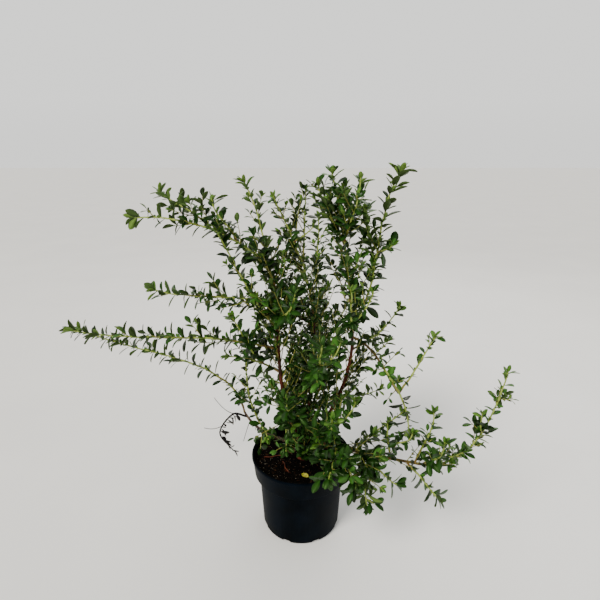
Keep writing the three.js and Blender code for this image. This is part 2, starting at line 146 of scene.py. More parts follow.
def new_mesh(name, points, faces, smooth=False):
    mesh = bpy.data.meshes.new(name)
    mesh.from_pydata(points, [], faces)
    if smooth:
        mesh.polygons.foreach_set("use_smooth", [True] * len(mesh.polygons))
    return mesh


def link_object(name, data):
    made = bpy.data.objects.new(name, data)
    scene.collection.objects.link(made)
    return made


def soft_light(name, kind, place, target, spread, power, code="ffffff"):
    """A wide daylight (SUN, spread in degrees) or a round softbox (AREA, spread in metres)."""
    data = bpy.data.lights.new(name, kind)
    if kind == "SUN":
        data.angle = math.radians(spread)
    else:
        data.shape = "DISK"
        data.size = spread
    data.energy = power
    data.color = linear(code)[:3]
    lamp = link_object(name, data)
    lamp.location = place
    lamp.rotation_euler = (Vector(target) - Vector(place)).to_track_quat("-Z", "Y").to_euler()


soft_light("key_light", "SUN", (-1.1, -1.3, 2.1), (0, 0, 0.35), 22, 3.4, "fffaf2")
soft_light("fill_light", "AREA", (1.6, -0.9, 1.2), (0, 0, 0.3), 1.6, 10, "f4f8ff")
soft_light("back_light", "AREA", (0.5, 1.6, 1.8), (0, 0, 0.4), 1.4, 14, "ffffff")

FLOOR = {"reach": 30.0, "drop": 0.0002}
corners = [(-1, -1), (1, -1), (1, 1), (-1, 1)]
floor_points = [(x * FLOOR["reach"], y * FLOOR["reach"], -FLOOR["drop"]) for x, y in corners]
floor_mesh = new_mesh("pale_floor", floor_points, [(0, 1, 2, 3)])
floor_mesh.materials.append(painted("pale_floor", 0.7, ["f1f0ed", "f5f4f1"], 3))
link_object("pale_floor", floor_mesh)

# The room's light is even at the horizon, where the floor ends. Higher up it gets greyer, and it
# is stronger beyond the plant than behind the camera.
ROOM = {
    "low": (0.1, "efefec"), "high": (0.7, "8f8f8c"), "horizon": 1.4, "clear_of_horizon": 0.45,
    "behind_camera": (-0.7, 0.75), "beyond_plant": (0.5, 2.1),
}
room = bpy.data.worlds.new("pale_room")
room.use_nodes = True
tree = room.node_tree
around = new_node(tree, "ShaderNodeTexCoord")
split = new_node(tree, "ShaderNodeSeparateXYZ")
shade = new_node(tree, "ShaderNodeValToRGB")
for stop, part in zip(shade.color_ramp.elements, ("low", "high")):
    stop.position, stop.color = ROOM[part][0], linear(ROOM[part][1])
(near, dim), (far, bright) = ROOM["behind_camera"], ROOM["beyond_plant"]
depth = new_node(tree, "ShaderNodeMapRange", From_Min=near, From_Max=far, To_Min=dim, To_Max=bright)
rise = new_node(tree, "ShaderNodeMapRange", From_Max=ROOM["clear_of_horizon"])
rise.interpolation_type = "SMOOTHSTEP"
meeting = new_node(tree, "ShaderNodeMix", A=ROOM["horizon"])
sky = tree.nodes["Background"]
wire(tree, (around, "Generated", split, "Vector"), (split, "Z", shade, "Fac"), (shade, "Color", sky, "Color"))
wire(tree, (split, "Y", depth, "Value"), (split, "Z", rise, "Value"), (rise, "Result", meeting, "Factor"))
wire(tree, (depth, "Result", meeting, "B"), (meeting, "Result", sky, "Strength"))
scene.world = room

# The pot is a thin black nursery pot, moulded in one from recycled plastic: a sloping wall, a
# step out to a deep collar, a thicker lip, and drainage notches round the corner of its foot.
POT = {
    "height": 153, "lip_radius": 95, "lip_height": 5, "collar_radius": 93.5, "collar_foot": 90,
    "collar_height": 38, "shoulder_radius": 81, "foot_radius": 75, "foot_rise": 4, "wall": 1.8,
    "floor": 2.5, "corner": 1.2, "sides": 160, "crease": 50,
}
DRAIN = {"count": 8, "width": 15, "depth": 9, "height": 7, "proud": 2}
MM = 0.001
collar_base = POT["height"] - POT["collar_height"]
inner_foot = POT["foot_radius"] - POT["wall"]
inner_shoulder = POT["shoulder_radius"] - POT["wall"]
inner_lip = POT["collar_radius"] - POT["wall"]


def softened(profile, radius):
    """The profile with each corner that isn't on the axis rounded off."""
    points = []
    for i, (r, z) in enumerate(profile):
        if i in (0, len(profile) - 1):
            points.append((r, z))
            continue
        here = Vector((r, z))
        before, after = Vector(profile[i - 1]), Vector(profile[i + 1])
        near = min(radius, 0.4 * (before - here).length, 0.4 * (after - here).length)
        a = here + (before - here).normalized() * near
        b = here + (after - here).normalized() * near
        for share in (0, 0.25, 0.5, 0.75, 1):
            point = a.lerp(here, share).lerp(here.lerp(b, share), share)
            points.append(tuple(point))
    return points


def circle(sides):
    """Each corner's number in a ring, the next corner's, and its cosine and sine."""
    for k in range(sides):
        angle = 2 * math.pi * k / sides
        yield k, (k + 1) % sides, math.cos(angle), math.sin(angle)


def turned(name, profile, sides, raised=None):
    """A closed body turned from a profile of (radius, height) in mm, from axis to axis."""
    points, faces = [(0, 0, profile[0][1] * MM)], []
    for r, z in profile[1:-1]:
        for _, _, cos, sin in circle(sides):
            x, y = r * cos, r * sin
            lift = raised(x, y, z) if raised else 0
            points.append((x * MM, y * MM, (z + lift) * MM))
    top_lift = raised(0, 0, profile[-1][1]) if raised else 0
    points.append((0, 0, (profile[-1][1] + top_lift) * MM))
    rings, last = len(profile) - 2, len(points) - 1
    for k, n, _, _ in circle(sides):
        faces.append((0, 1 + n, 1 + k))
        for ring in range(rings - 1):
            a, b = 1 + ring * sides, 1 + (ring + 1) * sides
            faces.append((a + k, a + n, b + n, b + k))
        faces.append((last, 1 + (rings - 1) * sides + k, 1 + (rings - 1) * sides + n))
    return new_mesh(name, points, faces, True)


def swung(x, y, angle):
    """A flat place turned about the middle."""
    return x * math.cos(angle) - y * math.sin(angle), x * math.sin(angle) + y * math.cos(angle)


def finished(name, mesh, material, nodes):
    """The piece itself: it rides on the plant's one body and stands for its solids."""
    if material:
        mesh.materials.clear()
        mesh.materials.append(material)
    made = link_object(name, mesh)
    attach(made, "root")
    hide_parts(*nodes)


pot_profile = softened(
    [
        (0, 0),
        (POT["foot_radius"] - POT["foot_rise"] / 2, 0),
        (POT["foot_radius"], POT["foot_rise"]),
        (POT["shoulder_radius"], collar_base),
        (POT["collar_foot"], collar_base),
        (POT["collar_radius"], POT["height"] - POT["lip_height"]),
        (POT["lip_radius"], POT["height"] - POT["lip_height"]),
        (POT["lip_radius"], POT["height"]),
        (inner_lip, POT["height"]),
        (POT["collar_foot"] - POT["wall"], collar_base + POT["wall"]),
        (inner_shoulder, collar_base + POT["wall"]),
        (inner_foot, POT["floor"]),
        (0, POT["floor"]),
    ],
    POT["corner"],
)
shell = link_object("pot_shell", turned("pot", pot_profile, POT["sides"]))
BOX_FACES = [(0, 1, 3, 2), (4, 6, 7, 5), (0, 4, 5, 1), (2, 3, 7, 6), (0, 2, 6, 4), (1, 5, 7, 3)]
middle = POT["foot_radius"] - DRAIN["depth"] / 2 + DRAIN["proud"]
points, faces = [], []
for i in range(DRAIN["count"]):
    angle = (i + 0.5) * 2 * math.pi / DRAIN["count"]
    for dx in (-0.5, 0.5):
        for dy in (-0.5, 0.5):
            x, y = swung(middle + dx * DRAIN["depth"], dy * DRAIN["width"], angle)
            points += [(x * MM, y * MM, z * DRAIN["height"] * MM) for z in (-1, 1)]
    faces += [tuple(8 * i + corner for corner in face) for face in BOX_FACES]
notches = link_object("notches", new_mesh("notches", points, faces))
cut = shell.modifiers.new("notches", "BOOLEAN")
cut.object = notches
cut.operation = "DIFFERENCE"
cut.solver = "EXACT"
view_layer = bpy.context.view_layer
view_layer.update()
pot_mesh = bpy.data.meshes.new_from_object(shell.evaluated_get(bpy.context.evaluated_depsgraph_get()))
bpy.data.objects.remove(shell)
bpy.data.objects.remove(notches)
pot_mesh.set_sharp_from_angle(angle=math.radians(POT["crease"]))

# Its plastic is bluish black and nearly dull, with fine speckle and faint upright streaks of dust and painted
# sheen.
PLASTIC = {
    "tint": (0.4, 0.68, 1, 1), "codes": ["000102", "010408", "040910"], "dust_and_sheen_code": "7d7f80",
    "dust_and_sheen_share": 0.006, "roughness": (0.4, 0.62), "speckle": 900, "relief": (0.0004, 0.25),
}
pot_material, tree, shader = new_material("pot_plastic", 0.5, 0.03)
preset(shader, Specular_Tint=PLASTIC["tint"])
colour, grain = mottled(tree, PLASTIC["codes"], 26, 6)
# Pale upright streaks blended into the base colour: dust, and a painted sheen.
sheen_and_dust_streaks, _ = mottled(tree, ["000000", "000000", PLASTIC["dust_and_sheen_code"]], 9, 8, (1, 1, 0.35))
speckle = new_node(tree, "ShaderNodeTexNoise", Scale=PLASTIC["speckle"], Detail=2)
where = new_node(tree, "ShaderNodeTexCoord")
dust_and_sheen_blend = tree.nodes.new("ShaderNodeMix")
dust_and_sheen_blend.data_type = "RGBA"
dust_and_sheen_blend.blend_type = "SCREEN"
preset(dust_and_sheen_blend, Factor=PLASTIC["dust_and_sheen_share"])
low, high = PLASTIC["roughness"]
shine = new_node(tree, "ShaderNodeMapRange", To_Min=low, To_Max=high)
tree.links.new(colour, dust_and_sheen_blend.inputs["A"])
tree.links.new(sheen_and_dust_streaks, dust_and_sheen_blend.inputs["B"])
tree.links.new(grain, shine.inputs["Value"])
wire(tree, (where, "Object", speckle, "Vector"), (dust_and_sheen_blend, "Result", shader, "Base Color"))
wire(tree, (shine, "Result", shader, "Roughness"))
roughened(tree, shader, speckle.outputs["Fac"], *PLASTIC["relief"])
finished("pot", pot_mesh, pot_material, ["pot"])

# The peat fills the pot to a little below the lip. It is a dark, damp mix of peat and shredded
# bark, pressed down by watering, lumpy on top and flat where the rootstock stands in it.
SOIL = {
    "top": 140, "edge_top": 137, "edge": 0.5, "flare": 1, "flat": 45, "ring": 0.9, "sides": 200,
    "lumps": 2.6, "broad": 15, "fine": 5, "slices": (3, 9), "mix": (0.3, 0.5, 0.45), "rise": 0.8,
    "stock": (4, 2), "level": 12,
}
GAP = 0.3
soil_radius = POT["collar_foot"] - POT["wall"] - GAP + SOIL["flare"]
step_top = collar_base + POT["wall"] + GAP


def peat_height(radius):
    share = max(0, radius - SOIL["flat"]) / (soil_radius - SOIL["flat"])
    return SOIL["top"] + share * (SOIL["edge_top"] - SOIL["top"])


def lumps(x, y, z):
    """Hollows and low lumps in the peat's top, which run out to level round the rootstock."""
    if z < SOIL["edge_top"] - SOIL["edge"]:
        return 0
    if math.hypot(x, y) >= soil_radius - SOIL["edge"]:
        return -SOIL["edge"]
    first, second = SOIL["slices"]
    broad = noise.noise(Vector((x, y, first)) / SOIL["broad"])
    fine = noise.noise(Vector((x, y, second)) / SOIL["fine"])
    mean, broadly, finely = SOIL["mix"]
    depth = SOIL["lumps"] * (mean + broadly * broad + finely * fine)
    away = math.hypot(x - SOIL["stock"][0], y - SOIL["stock"][1])
    return -max(-SOIL["rise"], depth) * min(1, max(0, (away - SOIL["level"]) / SOIL["level"]))


rings = [soil_radius - SOIL["ring"] * i for i in range(1, int(soil_radius / SOIL["ring"]))]
soil_profile = [
    (0, POT["floor"] + GAP),
    (inner_foot - GAP, POT["floor"] + GAP),
    (inner_shoulder - GAP, step_top),
    (POT["collar_foot"] - POT["wall"] - GAP, step_top),
    (soil_radius, SOIL["edge_top"]),
    *[(radius, peat_height(radius)) for radius in rings],
    (0, SOIL["top"]),
]
peat_mesh = turned("peat", soil_profile, SOIL["sides"], lumps)
PEAT_CODES = ["010101", "040302", "0b0806"]
peat_material = painted("peat", 0.9, PEAT_CODES, 160, 8, gloss=0.03, relief=(0.002, 0.9))
finished("peat", peat_mesh, peat_material, ["soil"])

# What lies in the peat: dark crumbs, shreds of brown bark, red-brown bits of twig and pale
# grains of grit. They are strewn over the top, each by its count for the whole, and half sunk.
STREWN = {
    "peat_crumbs": {
        "count": 5200, "size": (1.0, 3.2), "shape": (1, 0.85, 0.6), "seed": 3,
        "codes": ["020202", "080706", "1a1511"], "grain": 300,
    },
    "bark_shreds": {
        "count": 420, "size": (3, 9), "shape": (1, 0.32, 0.16), "seed": 5,
        "codes": ["0a0704", "21150c", "3d2a1a"], "grain": 120,
    },
    "twig_bits": {
        "count": 46, "size": (8, 21), "shape": (1, 0.09, 0.08), "seed": 8,
        "codes": ["1e0d06", "36170b", "4f2714"], "grain": 150,
    },
    "grit": {
        "count": 300, "size": (0.5, 1.6), "shape": (1, 0.9, 0.8), "seed": 13,
        "codes": ["6f6553", "9b907c", "c9c0ae"], "grain": 200,
    },
}
BED = {"inner": 14, "margin": 2.5, "rings": 44, "sides": 120}
TOSS = 0.35


def new_tree(name, sockets):
    """A geometry tree with its input and output, and named inputs for its sizes."""
    tree = bpy.data.node_groups.new(name, "GeometryNodeTree")
    tree.interface.new_socket("Geometry", in_out="INPUT", socket_type="NodeSocketGeometry")
    for label, kind in sockets:
        tree.interface.new_socket(label, in_out="INPUT", socket_type="NodeSocket" + kind)
    tree.interface.new_socket("Geometry", in_out="OUTPUT", socket_type="NodeSocketGeometry")
    return tree, tree.nodes.new("NodeGroupInput"), tree.nodes.new("NodeGroupOutput")


def grown(source, tree, values):
    """The plain mesh that a geometry tree makes from a source object, which is then removed."""
    modifier = source.modifiers.new(tree.name, "NODES")
    modifier.node_group = tree
    for item in tree.interface.items_tree:
        if item.in_out == "INPUT" and item.name in values:
            modifier[item.identifier] = values[item.name]
    view_layer.update()
    depsgraph = bpy.context.evaluated_depsgraph_get()
    mesh = bpy.data.meshes.new_from_object(source.evaluated_get(depsgraph))
    source.modifiers.remove(modifier)
    bpy.data.objects.remove(source)
    return mesh


def coated(tree, start, last, output, label="Finish"):
    """Realizes what the last node puts out and gives it the material of a named input."""
    realize = new_node(tree, "GeometryNodeRealizeInstances")
    paint = new_node(tree, "GeometryNodeSetMaterial")
    wire(tree, (last, output, realize, "Geometry"), (realize, "Geometry", paint, "Geometry"))
    wire(tree, (start, label, paint, "Material"))
    return paint


def strewing_tree():
    """Strews a bed with tossed copies of a lump, between the smallest and the largest size."""
    sockets = [("Lump", "Object"), ("Density", "Float"), ("Smallest", "Float"), ("Largest", "Float")]
    tree, start, end = new_tree("strewn", sockets + [("Seed", "Int"), ("Finish", "Material")])
    scatter = new_node(tree, "GeometryNodeDistributePointsOnFaces")
    size = new_node(tree, "FunctionNodeRandomValue")
    spin = tree.nodes.new("FunctionNodeRandomValue")
    spin.data_type = "FLOAT_VECTOR"
    preset(spin, Min=(-TOSS, -TOSS, 0), Max=(TOSS, TOSS, 2 * math.pi))
    info = new_node(tree, "GeometryNodeObjectInfo")
    put = new_node(tree, "GeometryNodeInstanceOnPoints")
    for node in (scatter, size, spin):
        wire(tree, (start, "Seed", node, "Seed"))
    wire(tree, (start, "Geometry", scatter, "Mesh"), (start, "Density", scatter, "Density"))
    wire(tree, (start, "Smallest", size, 2), (start, "Largest", size, 3), (size, 1, put, "Scale"))
    wire(tree, (start, "Lump", info, "Object"), (info, "Geometry", put, "Instance"))
    wire(tree, (scatter, "Points", put, "Points"), (spin, "Value", put, "Rotation"))
    wire(tree, (coated(tree, start, put, "Instances"), "Geometry", end, "Geometry"))
    return tree


def pebble(name, shape):
    """A small rough lump one unit long."""
    gold = (1 + 5**0.5) / 2
    corners = [(x, y, 0) for y in (gold, -gold) for x in (-1, 1)]
    corners += [(0, y, z) for z in (gold, -gold) for y in (-1, 1)]
    corners += [(x, 0, z) for x in (gold, -gold) for z in (-1, 1)]
    faces = [(0, 11, 5), (0, 5, 1), (0, 1, 7), (0, 7, 10), (0, 10, 11), (1, 5, 9), (5, 11, 4)]
    faces += [(11, 10, 2), (10, 7, 6), (7, 1, 8), (3, 9, 4), (3, 4, 2), (3, 2, 6), (3, 6, 8)]
    faces += [(3, 8, 9), (4, 9, 5), (2, 4, 11), (6, 2, 10), (8, 6, 7), (9, 8, 1)]
    dice = random.Random(name)
    points = []
    for corner in corners:
        unit = Vector(corner).normalized() * (0.38 + 0.2 * dice.random())
        points.append([unit[i] * shape[i] for i in range(3)])
    return new_mesh(name, points, faces)


def peat_top(x, y):
    """The height of the peat at a place, in mm."""
    return peat_height(math.hypot(x, y)) + lumps(x, y, SOIL["top"])


points, faces = [], []
for i in range(BED["rings"] + 1):
    radius = BED["inner"] + (soil_radius - BED["margin"] - BED["inner"]) * i / BED["rings"]
    a, b = (i - 1) * BED["sides"], i * BED["sides"]
    for k, n, cos, sin in circle(BED["sides"]):
        x, y = radius * cos, radius * sin
        points.append((x * MM, y * MM, peat_top(x, y) * MM))
        if i:
            faces.append((a + k, b + k, b + n, a + n))
bed_mesh = new_mesh("bed", points, faces)
strewing = strewing_tree()
top_area = math.pi * (soil_radius * MM) ** 2
for name, kind in STREWN.items():
    lump = link_object(name + "_lump", pebble(name, kind["shape"]))
    smallest, largest = kind["size"]
    values = {
        "Lump": lump, "Density": kind["count"] / top_area, "Smallest": smallest * MM,
        "Largest": largest * MM, "Seed": kind["seed"],
        "Finish": painted(name, 0.85, kind["codes"], kind["grain"], 4, gloss=0.03),
    }
    mesh = grown(link_object(name + "_bed", bed_mesh), strewing, values)
    bpy.data.objects.remove(lump)
    finished(name, mesh, None, ["soil"])

# On the peat lie a yellowed leaf that fell from the plant, a round tan flake of bark, and two
# longer pieces of red-brown twig. They lie loose where they dropped.
FALLEN_LEAF = {
    "place": (7, -56), "length": 15, "width": 10, "heading": -35, "thick": 0.4, "wave": 0.8,
    "outline": [(0, 0.04), (0.15, 0.3), (0.4, 0.5), (0.65, 0.48), (0.85, 0.3), (1, 0.03)],
    "lifts": [(-1, 2.4), (0, 1.5), (1, 2.8)],
}
BARK_FLAKE = {
    "place": (-19, 17), "radius": 7.5, "thick": 1.6, "lift": 0.6, "ragged": 0.25, "grain": 90,
    "sides": 20,
    "outline": [(0, 0), (0.85, 0), (1, 0.5), (0.82, 1), (0, 0.9)],
}
FALLEN_TWIGS = [((-72, 0), (-38, 3), 1.3), ((-35, -17), (-24, -46), 1.1)]
FALLEN_STEPS = 8

points, faces = [], []
x0, y0 = FALLEN_LEAF["place"]
turn = math.radians(FALLEN_LEAF["heading"])
for i, (t, half) in enumerate(FALLEN_LEAF["outline"]):
    for side, lift in FALLEN_LEAF["lifts"]:
        x, y = swung((t - 0.5) * FALLEN_LEAF["length"], side * half * FALLEN_LEAF["width"], turn)
        height = peat_top(x0, y0) + lift + FALLEN_LEAF["wave"] * math.sin(3 * t)
        for z in (height, height - FALLEN_LEAF["thick"]):
            points.append(((x0 + x) * MM, (y0 + y) * MM, z * MM))
    if i:
        a, b = 6 * (i - 1), 6 * i
        faces += [(a, b, b + 2, a + 2), (a + 2, b + 2, b + 4, a + 4)]
        faces += [(a + 1, a + 3, b + 3, b + 1), (a + 3, a + 5, b + 5, b + 3)]
        faces += [(a, a + 1, b + 1, b), (a + 4, b + 4, b + 5, a + 5)]
faces += [(0, 2, 3, 1), (2, 4, 5, 3), (30, 31, 33, 32), (32, 33, 35, 34)]
material = painted("yellowed_leaf", 0.6, ["7a7a1c", "a3a02c", "bdb64a"], 220, 4)
finished("fallen_leaf", new_mesh("fallen_leaf", points, faces), material, ["soil"])

x0, y0 = BARK_FLAKE["place"]
base = peat_top(x0, y0) + BARK_FLAKE["lift"]
profile = [(r * BARK_FLAKE["radius"], base + z * BARK_FLAKE["thick"]) for r, z in BARK_FLAKE["outline"]]
mesh = turned("bark_flake", profile, BARK_FLAKE["sides"])
for vertex in mesh.vertices:
    wobble = 1 + BARK_FLAKE["ragged"] * noise.noise(vertex.co * BARK_FLAKE["grain"])
    vertex.co.x, vertex.co.y = vertex.co.x * wobble + x0 * MM, vertex.co.y * wobble + y0 * MM
material = painted("bark_flake", 0.85, ["2a1e0e", "4a3619", "6b5228"], 180, 5)
finished("bark_flake", mesh, material, ["soil"])


def wall(first, rings, sides):
    """The faces between rings of corners that follow each other from a first corner on."""
    faces = []
    for a in range(first, first + (rings - 1) * sides, sides):
        b = a + sides
        faces += [(a + k, a + n, b + n, b + k) for k, n, _, _ in circle(sides)]
    return faces


def tube(points, faces, path, radii, sides, relief=None):
    """Adds a closed tube along a path of points in mm, with rounded ends."""
    first = len(points)
    along = (path[1] - path[0]).normalized()
    side = along.orthogonal().normalized()
    for i, (centre, radius) in enumerate(zip(path, radii)):
        after = path[min(i + 1, len(path) - 1)] - path[max(i - 1, 0)]
        side = (side - after.normalized() * side.dot(after.normalized())).normalized()
        other = after.normalized().cross(side)
        for k, _, cos, sin in circle(sides):
            out = side * cos + other * sin
            grown_by = relief(i, k, centre) if relief else 0
            points.append((centre + out * radius * (1 + grown_by)) * MM)
    for end, ring in ((0, 0), (-1, len(path) - 1)):
        cap = len(points)
        way = path[0] - path[1] if end == 0 else path[-1] - path[-2]
        points.append((path[end] + way.normalized() * radii[end] * 0.5) * MM)
        here = first + ring * sides
        for k, n, _, _ in circle(sides):
            faces.append((cap, here + n, here + k) if end == 0 else (cap, here + k, here + n))
    faces += wall(first, len(path), sides)


points, faces = [], []
for (x0, y0), (x1, y1), thick in FALLEN_TWIGS:
    path, radii = [], []
    for i in range(FALLEN_STEPS + 1):
        x, y = x0 + (x1 - x0) * i / FALLEN_STEPS, y0 + (y1 - y0) * i / FALLEN_STEPS
        path.append(Vector((x + 1.2 * math.sin(i), y + 0.9 * math.cos(i), peat_top(x, y) + thick * 0.7)))
        radii.append(thick * (0.7 + 0.3 * math.sin(i * 2.1) ** 2))
    tube(points, faces, path, radii, 7)
material = painted("fallen_twig", 0.8, ["2c1208", "54240f", "7a3c1e"], 200, 4)
finished("fallen_twigs", new_mesh("fallen_twigs", points, faces), material, ["soil"])

# The rootstock and the woody limbs. The oldest wood has thin red-brown bark, cracked along the
# grain and ringed by old leaf scars. Each limb tapers from its fork to where a shoot goes on.
ROOTSTOCK = {"tip": (7, 3, 176), "thick": (19, 15), "flare": 0.35, "sunk": 3}
ARCH = {"handle": 0.36, "steps": 128}
SEAT_DEPTH = 0.3

# Of each limb: its parent and the share of it where the limb forks off, the limb's tip, its
# slopes at foot and tip in degrees, and its thickness at foot and tip.
LIMBS = {
    "centre_stem": ("rootstock", 1, (23, 20, 420), 78, 92, (8, 4.5)),
    "left_stem": ("rootstock", 0.85, (-44, -15, 480), 62, 86, (8, 4.5)),
    "right_stem": ("rootstock", 0.9, (87, 5, 448), 50, 100, (8, 4.5)),
    "low_left_stem": ("rootstock", 0.6, (-113, 45, 212), 4, 62, (7, 4.5)),
    "low_right_stem": ("rootstock", 0.7, (223, -80, 182), 14, 6, (7, 4.5)),
    "front_stem": ("rootstock", 0.5, (84, -84, 222), 40, 8, (6, 4)),
    "back_stem": ("rootstock", 0.75, (28, 105, 335), 50, 78, (7, 4)),
    "right_bough": ("right_stem", 0.8, (172, -38, 300), -12, -50, (4.5, 3.5)),
}
BARK = {
    "sides": 14, "step": 2.4, "relief": 0.13, "scar_pitch": 13, "scar_edge": 12, "scar": 0.5,
    "lumps": 11, "lump": 0.7, "lumps_apart": 5, "around": 3, "along": 0.11, "apart": 20,
    "wood": ["250f08", "481d0d", "6b2f16"], "grey": ["2a1f16", "4a3a2c", "6a5848"],
    "young": ["3a2c12", "5c4c1e", "75682c"],
}


class Arch:
    """A stem's bow from foot to tip, with its thickness; places are shares of its length."""

    def __init__(self, foot, tip, leave, arrive, thick, turn=0, flare=0):
        along = tip - foot
        heading = math.atan2(along.y, along.x)
        handle = along.length * ARCH["handle"]

        def slope(angle, swing):
            flat = math.cos(math.radians(angle)) * handle
            way = heading + math.radians(swing)
            rise = handle * math.sin(math.radians(angle))
            return Vector((flat * math.cos(way), flat * math.sin(way), rise))

        a, b = foot + slope(leave, turn), tip - slope(arrive, -turn)
        self.thick, self.flare = thick, flare
        self.fine = []
        for i in range(ARCH["steps"] + 1):
            t = i / ARCH["steps"]
            u = 1 - t
            point = foot * u**3 + a * (3 * u * u * t) + b * (3 * u * t * t) + tip * t**3
            self.fine.append(point)
        self.run = [0.0]
        for before, after in zip(self.fine, self.fine[1:]):
            self.run.append(self.run[-1] + (after - before).length)
        self.length = self.run[-1]

    def piece(self, share):
        """The short straight that a share falls on, and how far along it."""
        goal = min(max(share, 0), 1) * self.length
        low = int(np.searchsorted(self.run, goal, side="right")) - 1
        low = min(max(low, 0), ARCH["steps"] - 1)
        return low, (goal - self.run[low]) / (self.run[low + 1] - self.run[low])

    def at(self, share):
        low, rest = self.piece(share)
        return self.fine[low].lerp(self.fine[low + 1], rest)

    def way(self, share):
        """The direction in which the stem grows at a share."""
        low, _ = self.piece(share)
        return (self.fine[low + 1] - self.fine[low]).normalized()

    def thickness(self, share):
        foot, tip = self.thick
        return (foot + (tip - foot) * share) * (1 + self.flare * (1 - share) ** 3)


def foot_on(parent, share, tip):
    """Where a stem leaves its parent: from its end, or on the side that faces the stem's tip."""
    point, along = parent.at(share), parent.way(share)
    if share == 1:
        return point
    side = tip - point
    side = (side - along * side.dot(along)).normalized()
    return point + side * parent.thickness(share) * SEAT_DEPTH


wood = {}
stock_foot = Vector((*SOIL["stock"], SOIL["top"]))
stock_tip = Vector(ROOTSTOCK["tip"])
stock_lean = math.degrees(math.asin((stock_tip - stock_foot).normalized().z))
wood["rootstock"] = Arch(
    stock_foot, stock_tip, stock_lean, stock_lean, ROOTSTOCK["thick"], 0, ROOTSTOCK["flare"]
)
for name, (parent, share, tip, leave, arrive, thick) in LIMBS.items():
    tip = Vector(tip)
    wood[name] = Arch(foot_on(wood[parent], share, tip), tip, leave, arrive, thick)


def cracked(number):
    """Long cracks along the grain, lumps, and a raised ring at each old leaf scar."""

    def relief(i, k, centre):
        angle = 2 * math.pi * k / BARK["sides"]
        x, y = BARK["around"] * math.cos(angle), BARK["around"] * math.sin(angle)
        grain = Vector((x, y, i * BARK["along"] + BARK["apart"] * number))
        lump = noise.noise(centre / BARK["lumps"] + Vector((0, 0, BARK["lumps_apart"] * number)))
        scar = max(0, math.cos(2 * math.pi * i * BARK["step"] / BARK["scar_pitch"])) ** BARK["scar_edge"]
        return BARK["relief"] * (noise.noise(grain) + BARK["lump"] * lump + BARK["scar"] * scar)

    return relief


BARKS = {
    "woody_limbs": (BARK["wood"], ["rootstock", "centre_stem", "left_stem", "right_stem"]),
    "greyed_limb": (BARK["grey"], ["low_left_stem"]),
    "young_limbs": (BARK["young"], ["low_right_stem", "front_stem", "back_stem", "right_bough"]),
}
for piece_name, (codes, names) in BARKS.items():
    points, faces = [], []
    for number, name in enumerate(names):
        limb = wood[name]
        steps = round(limb.length / BARK["step"])
        path = [limb.at(i / steps) for i in range(steps + 1)]
        radii = [limb.thickness(i / steps) / 2 for i in range(steps + 1)]
        if name == "rootstock":
            path.insert(0, path[0] - Vector((0, 0, ROOTSTOCK["sunk"])))
            radii.insert(0, radii[0])
        tube(points, faces, path, radii, BARK["sides"], cracked(number))
    bark_mesh = new_mesh(piece_name, points, faces, True)
    material = painted(piece_name + "_bark", 0.75, codes, 90, 6, (1, 1, 0.5), relief=(0.001, 0.5))
    finished(piece_name, bark_mesh, material, names)

# The leafy shoots. Each grows on from a limb as a slim stem, brown at its foot, then tan, and
# yellow-green towards its tip, and forks into side stems that arch up to the light.

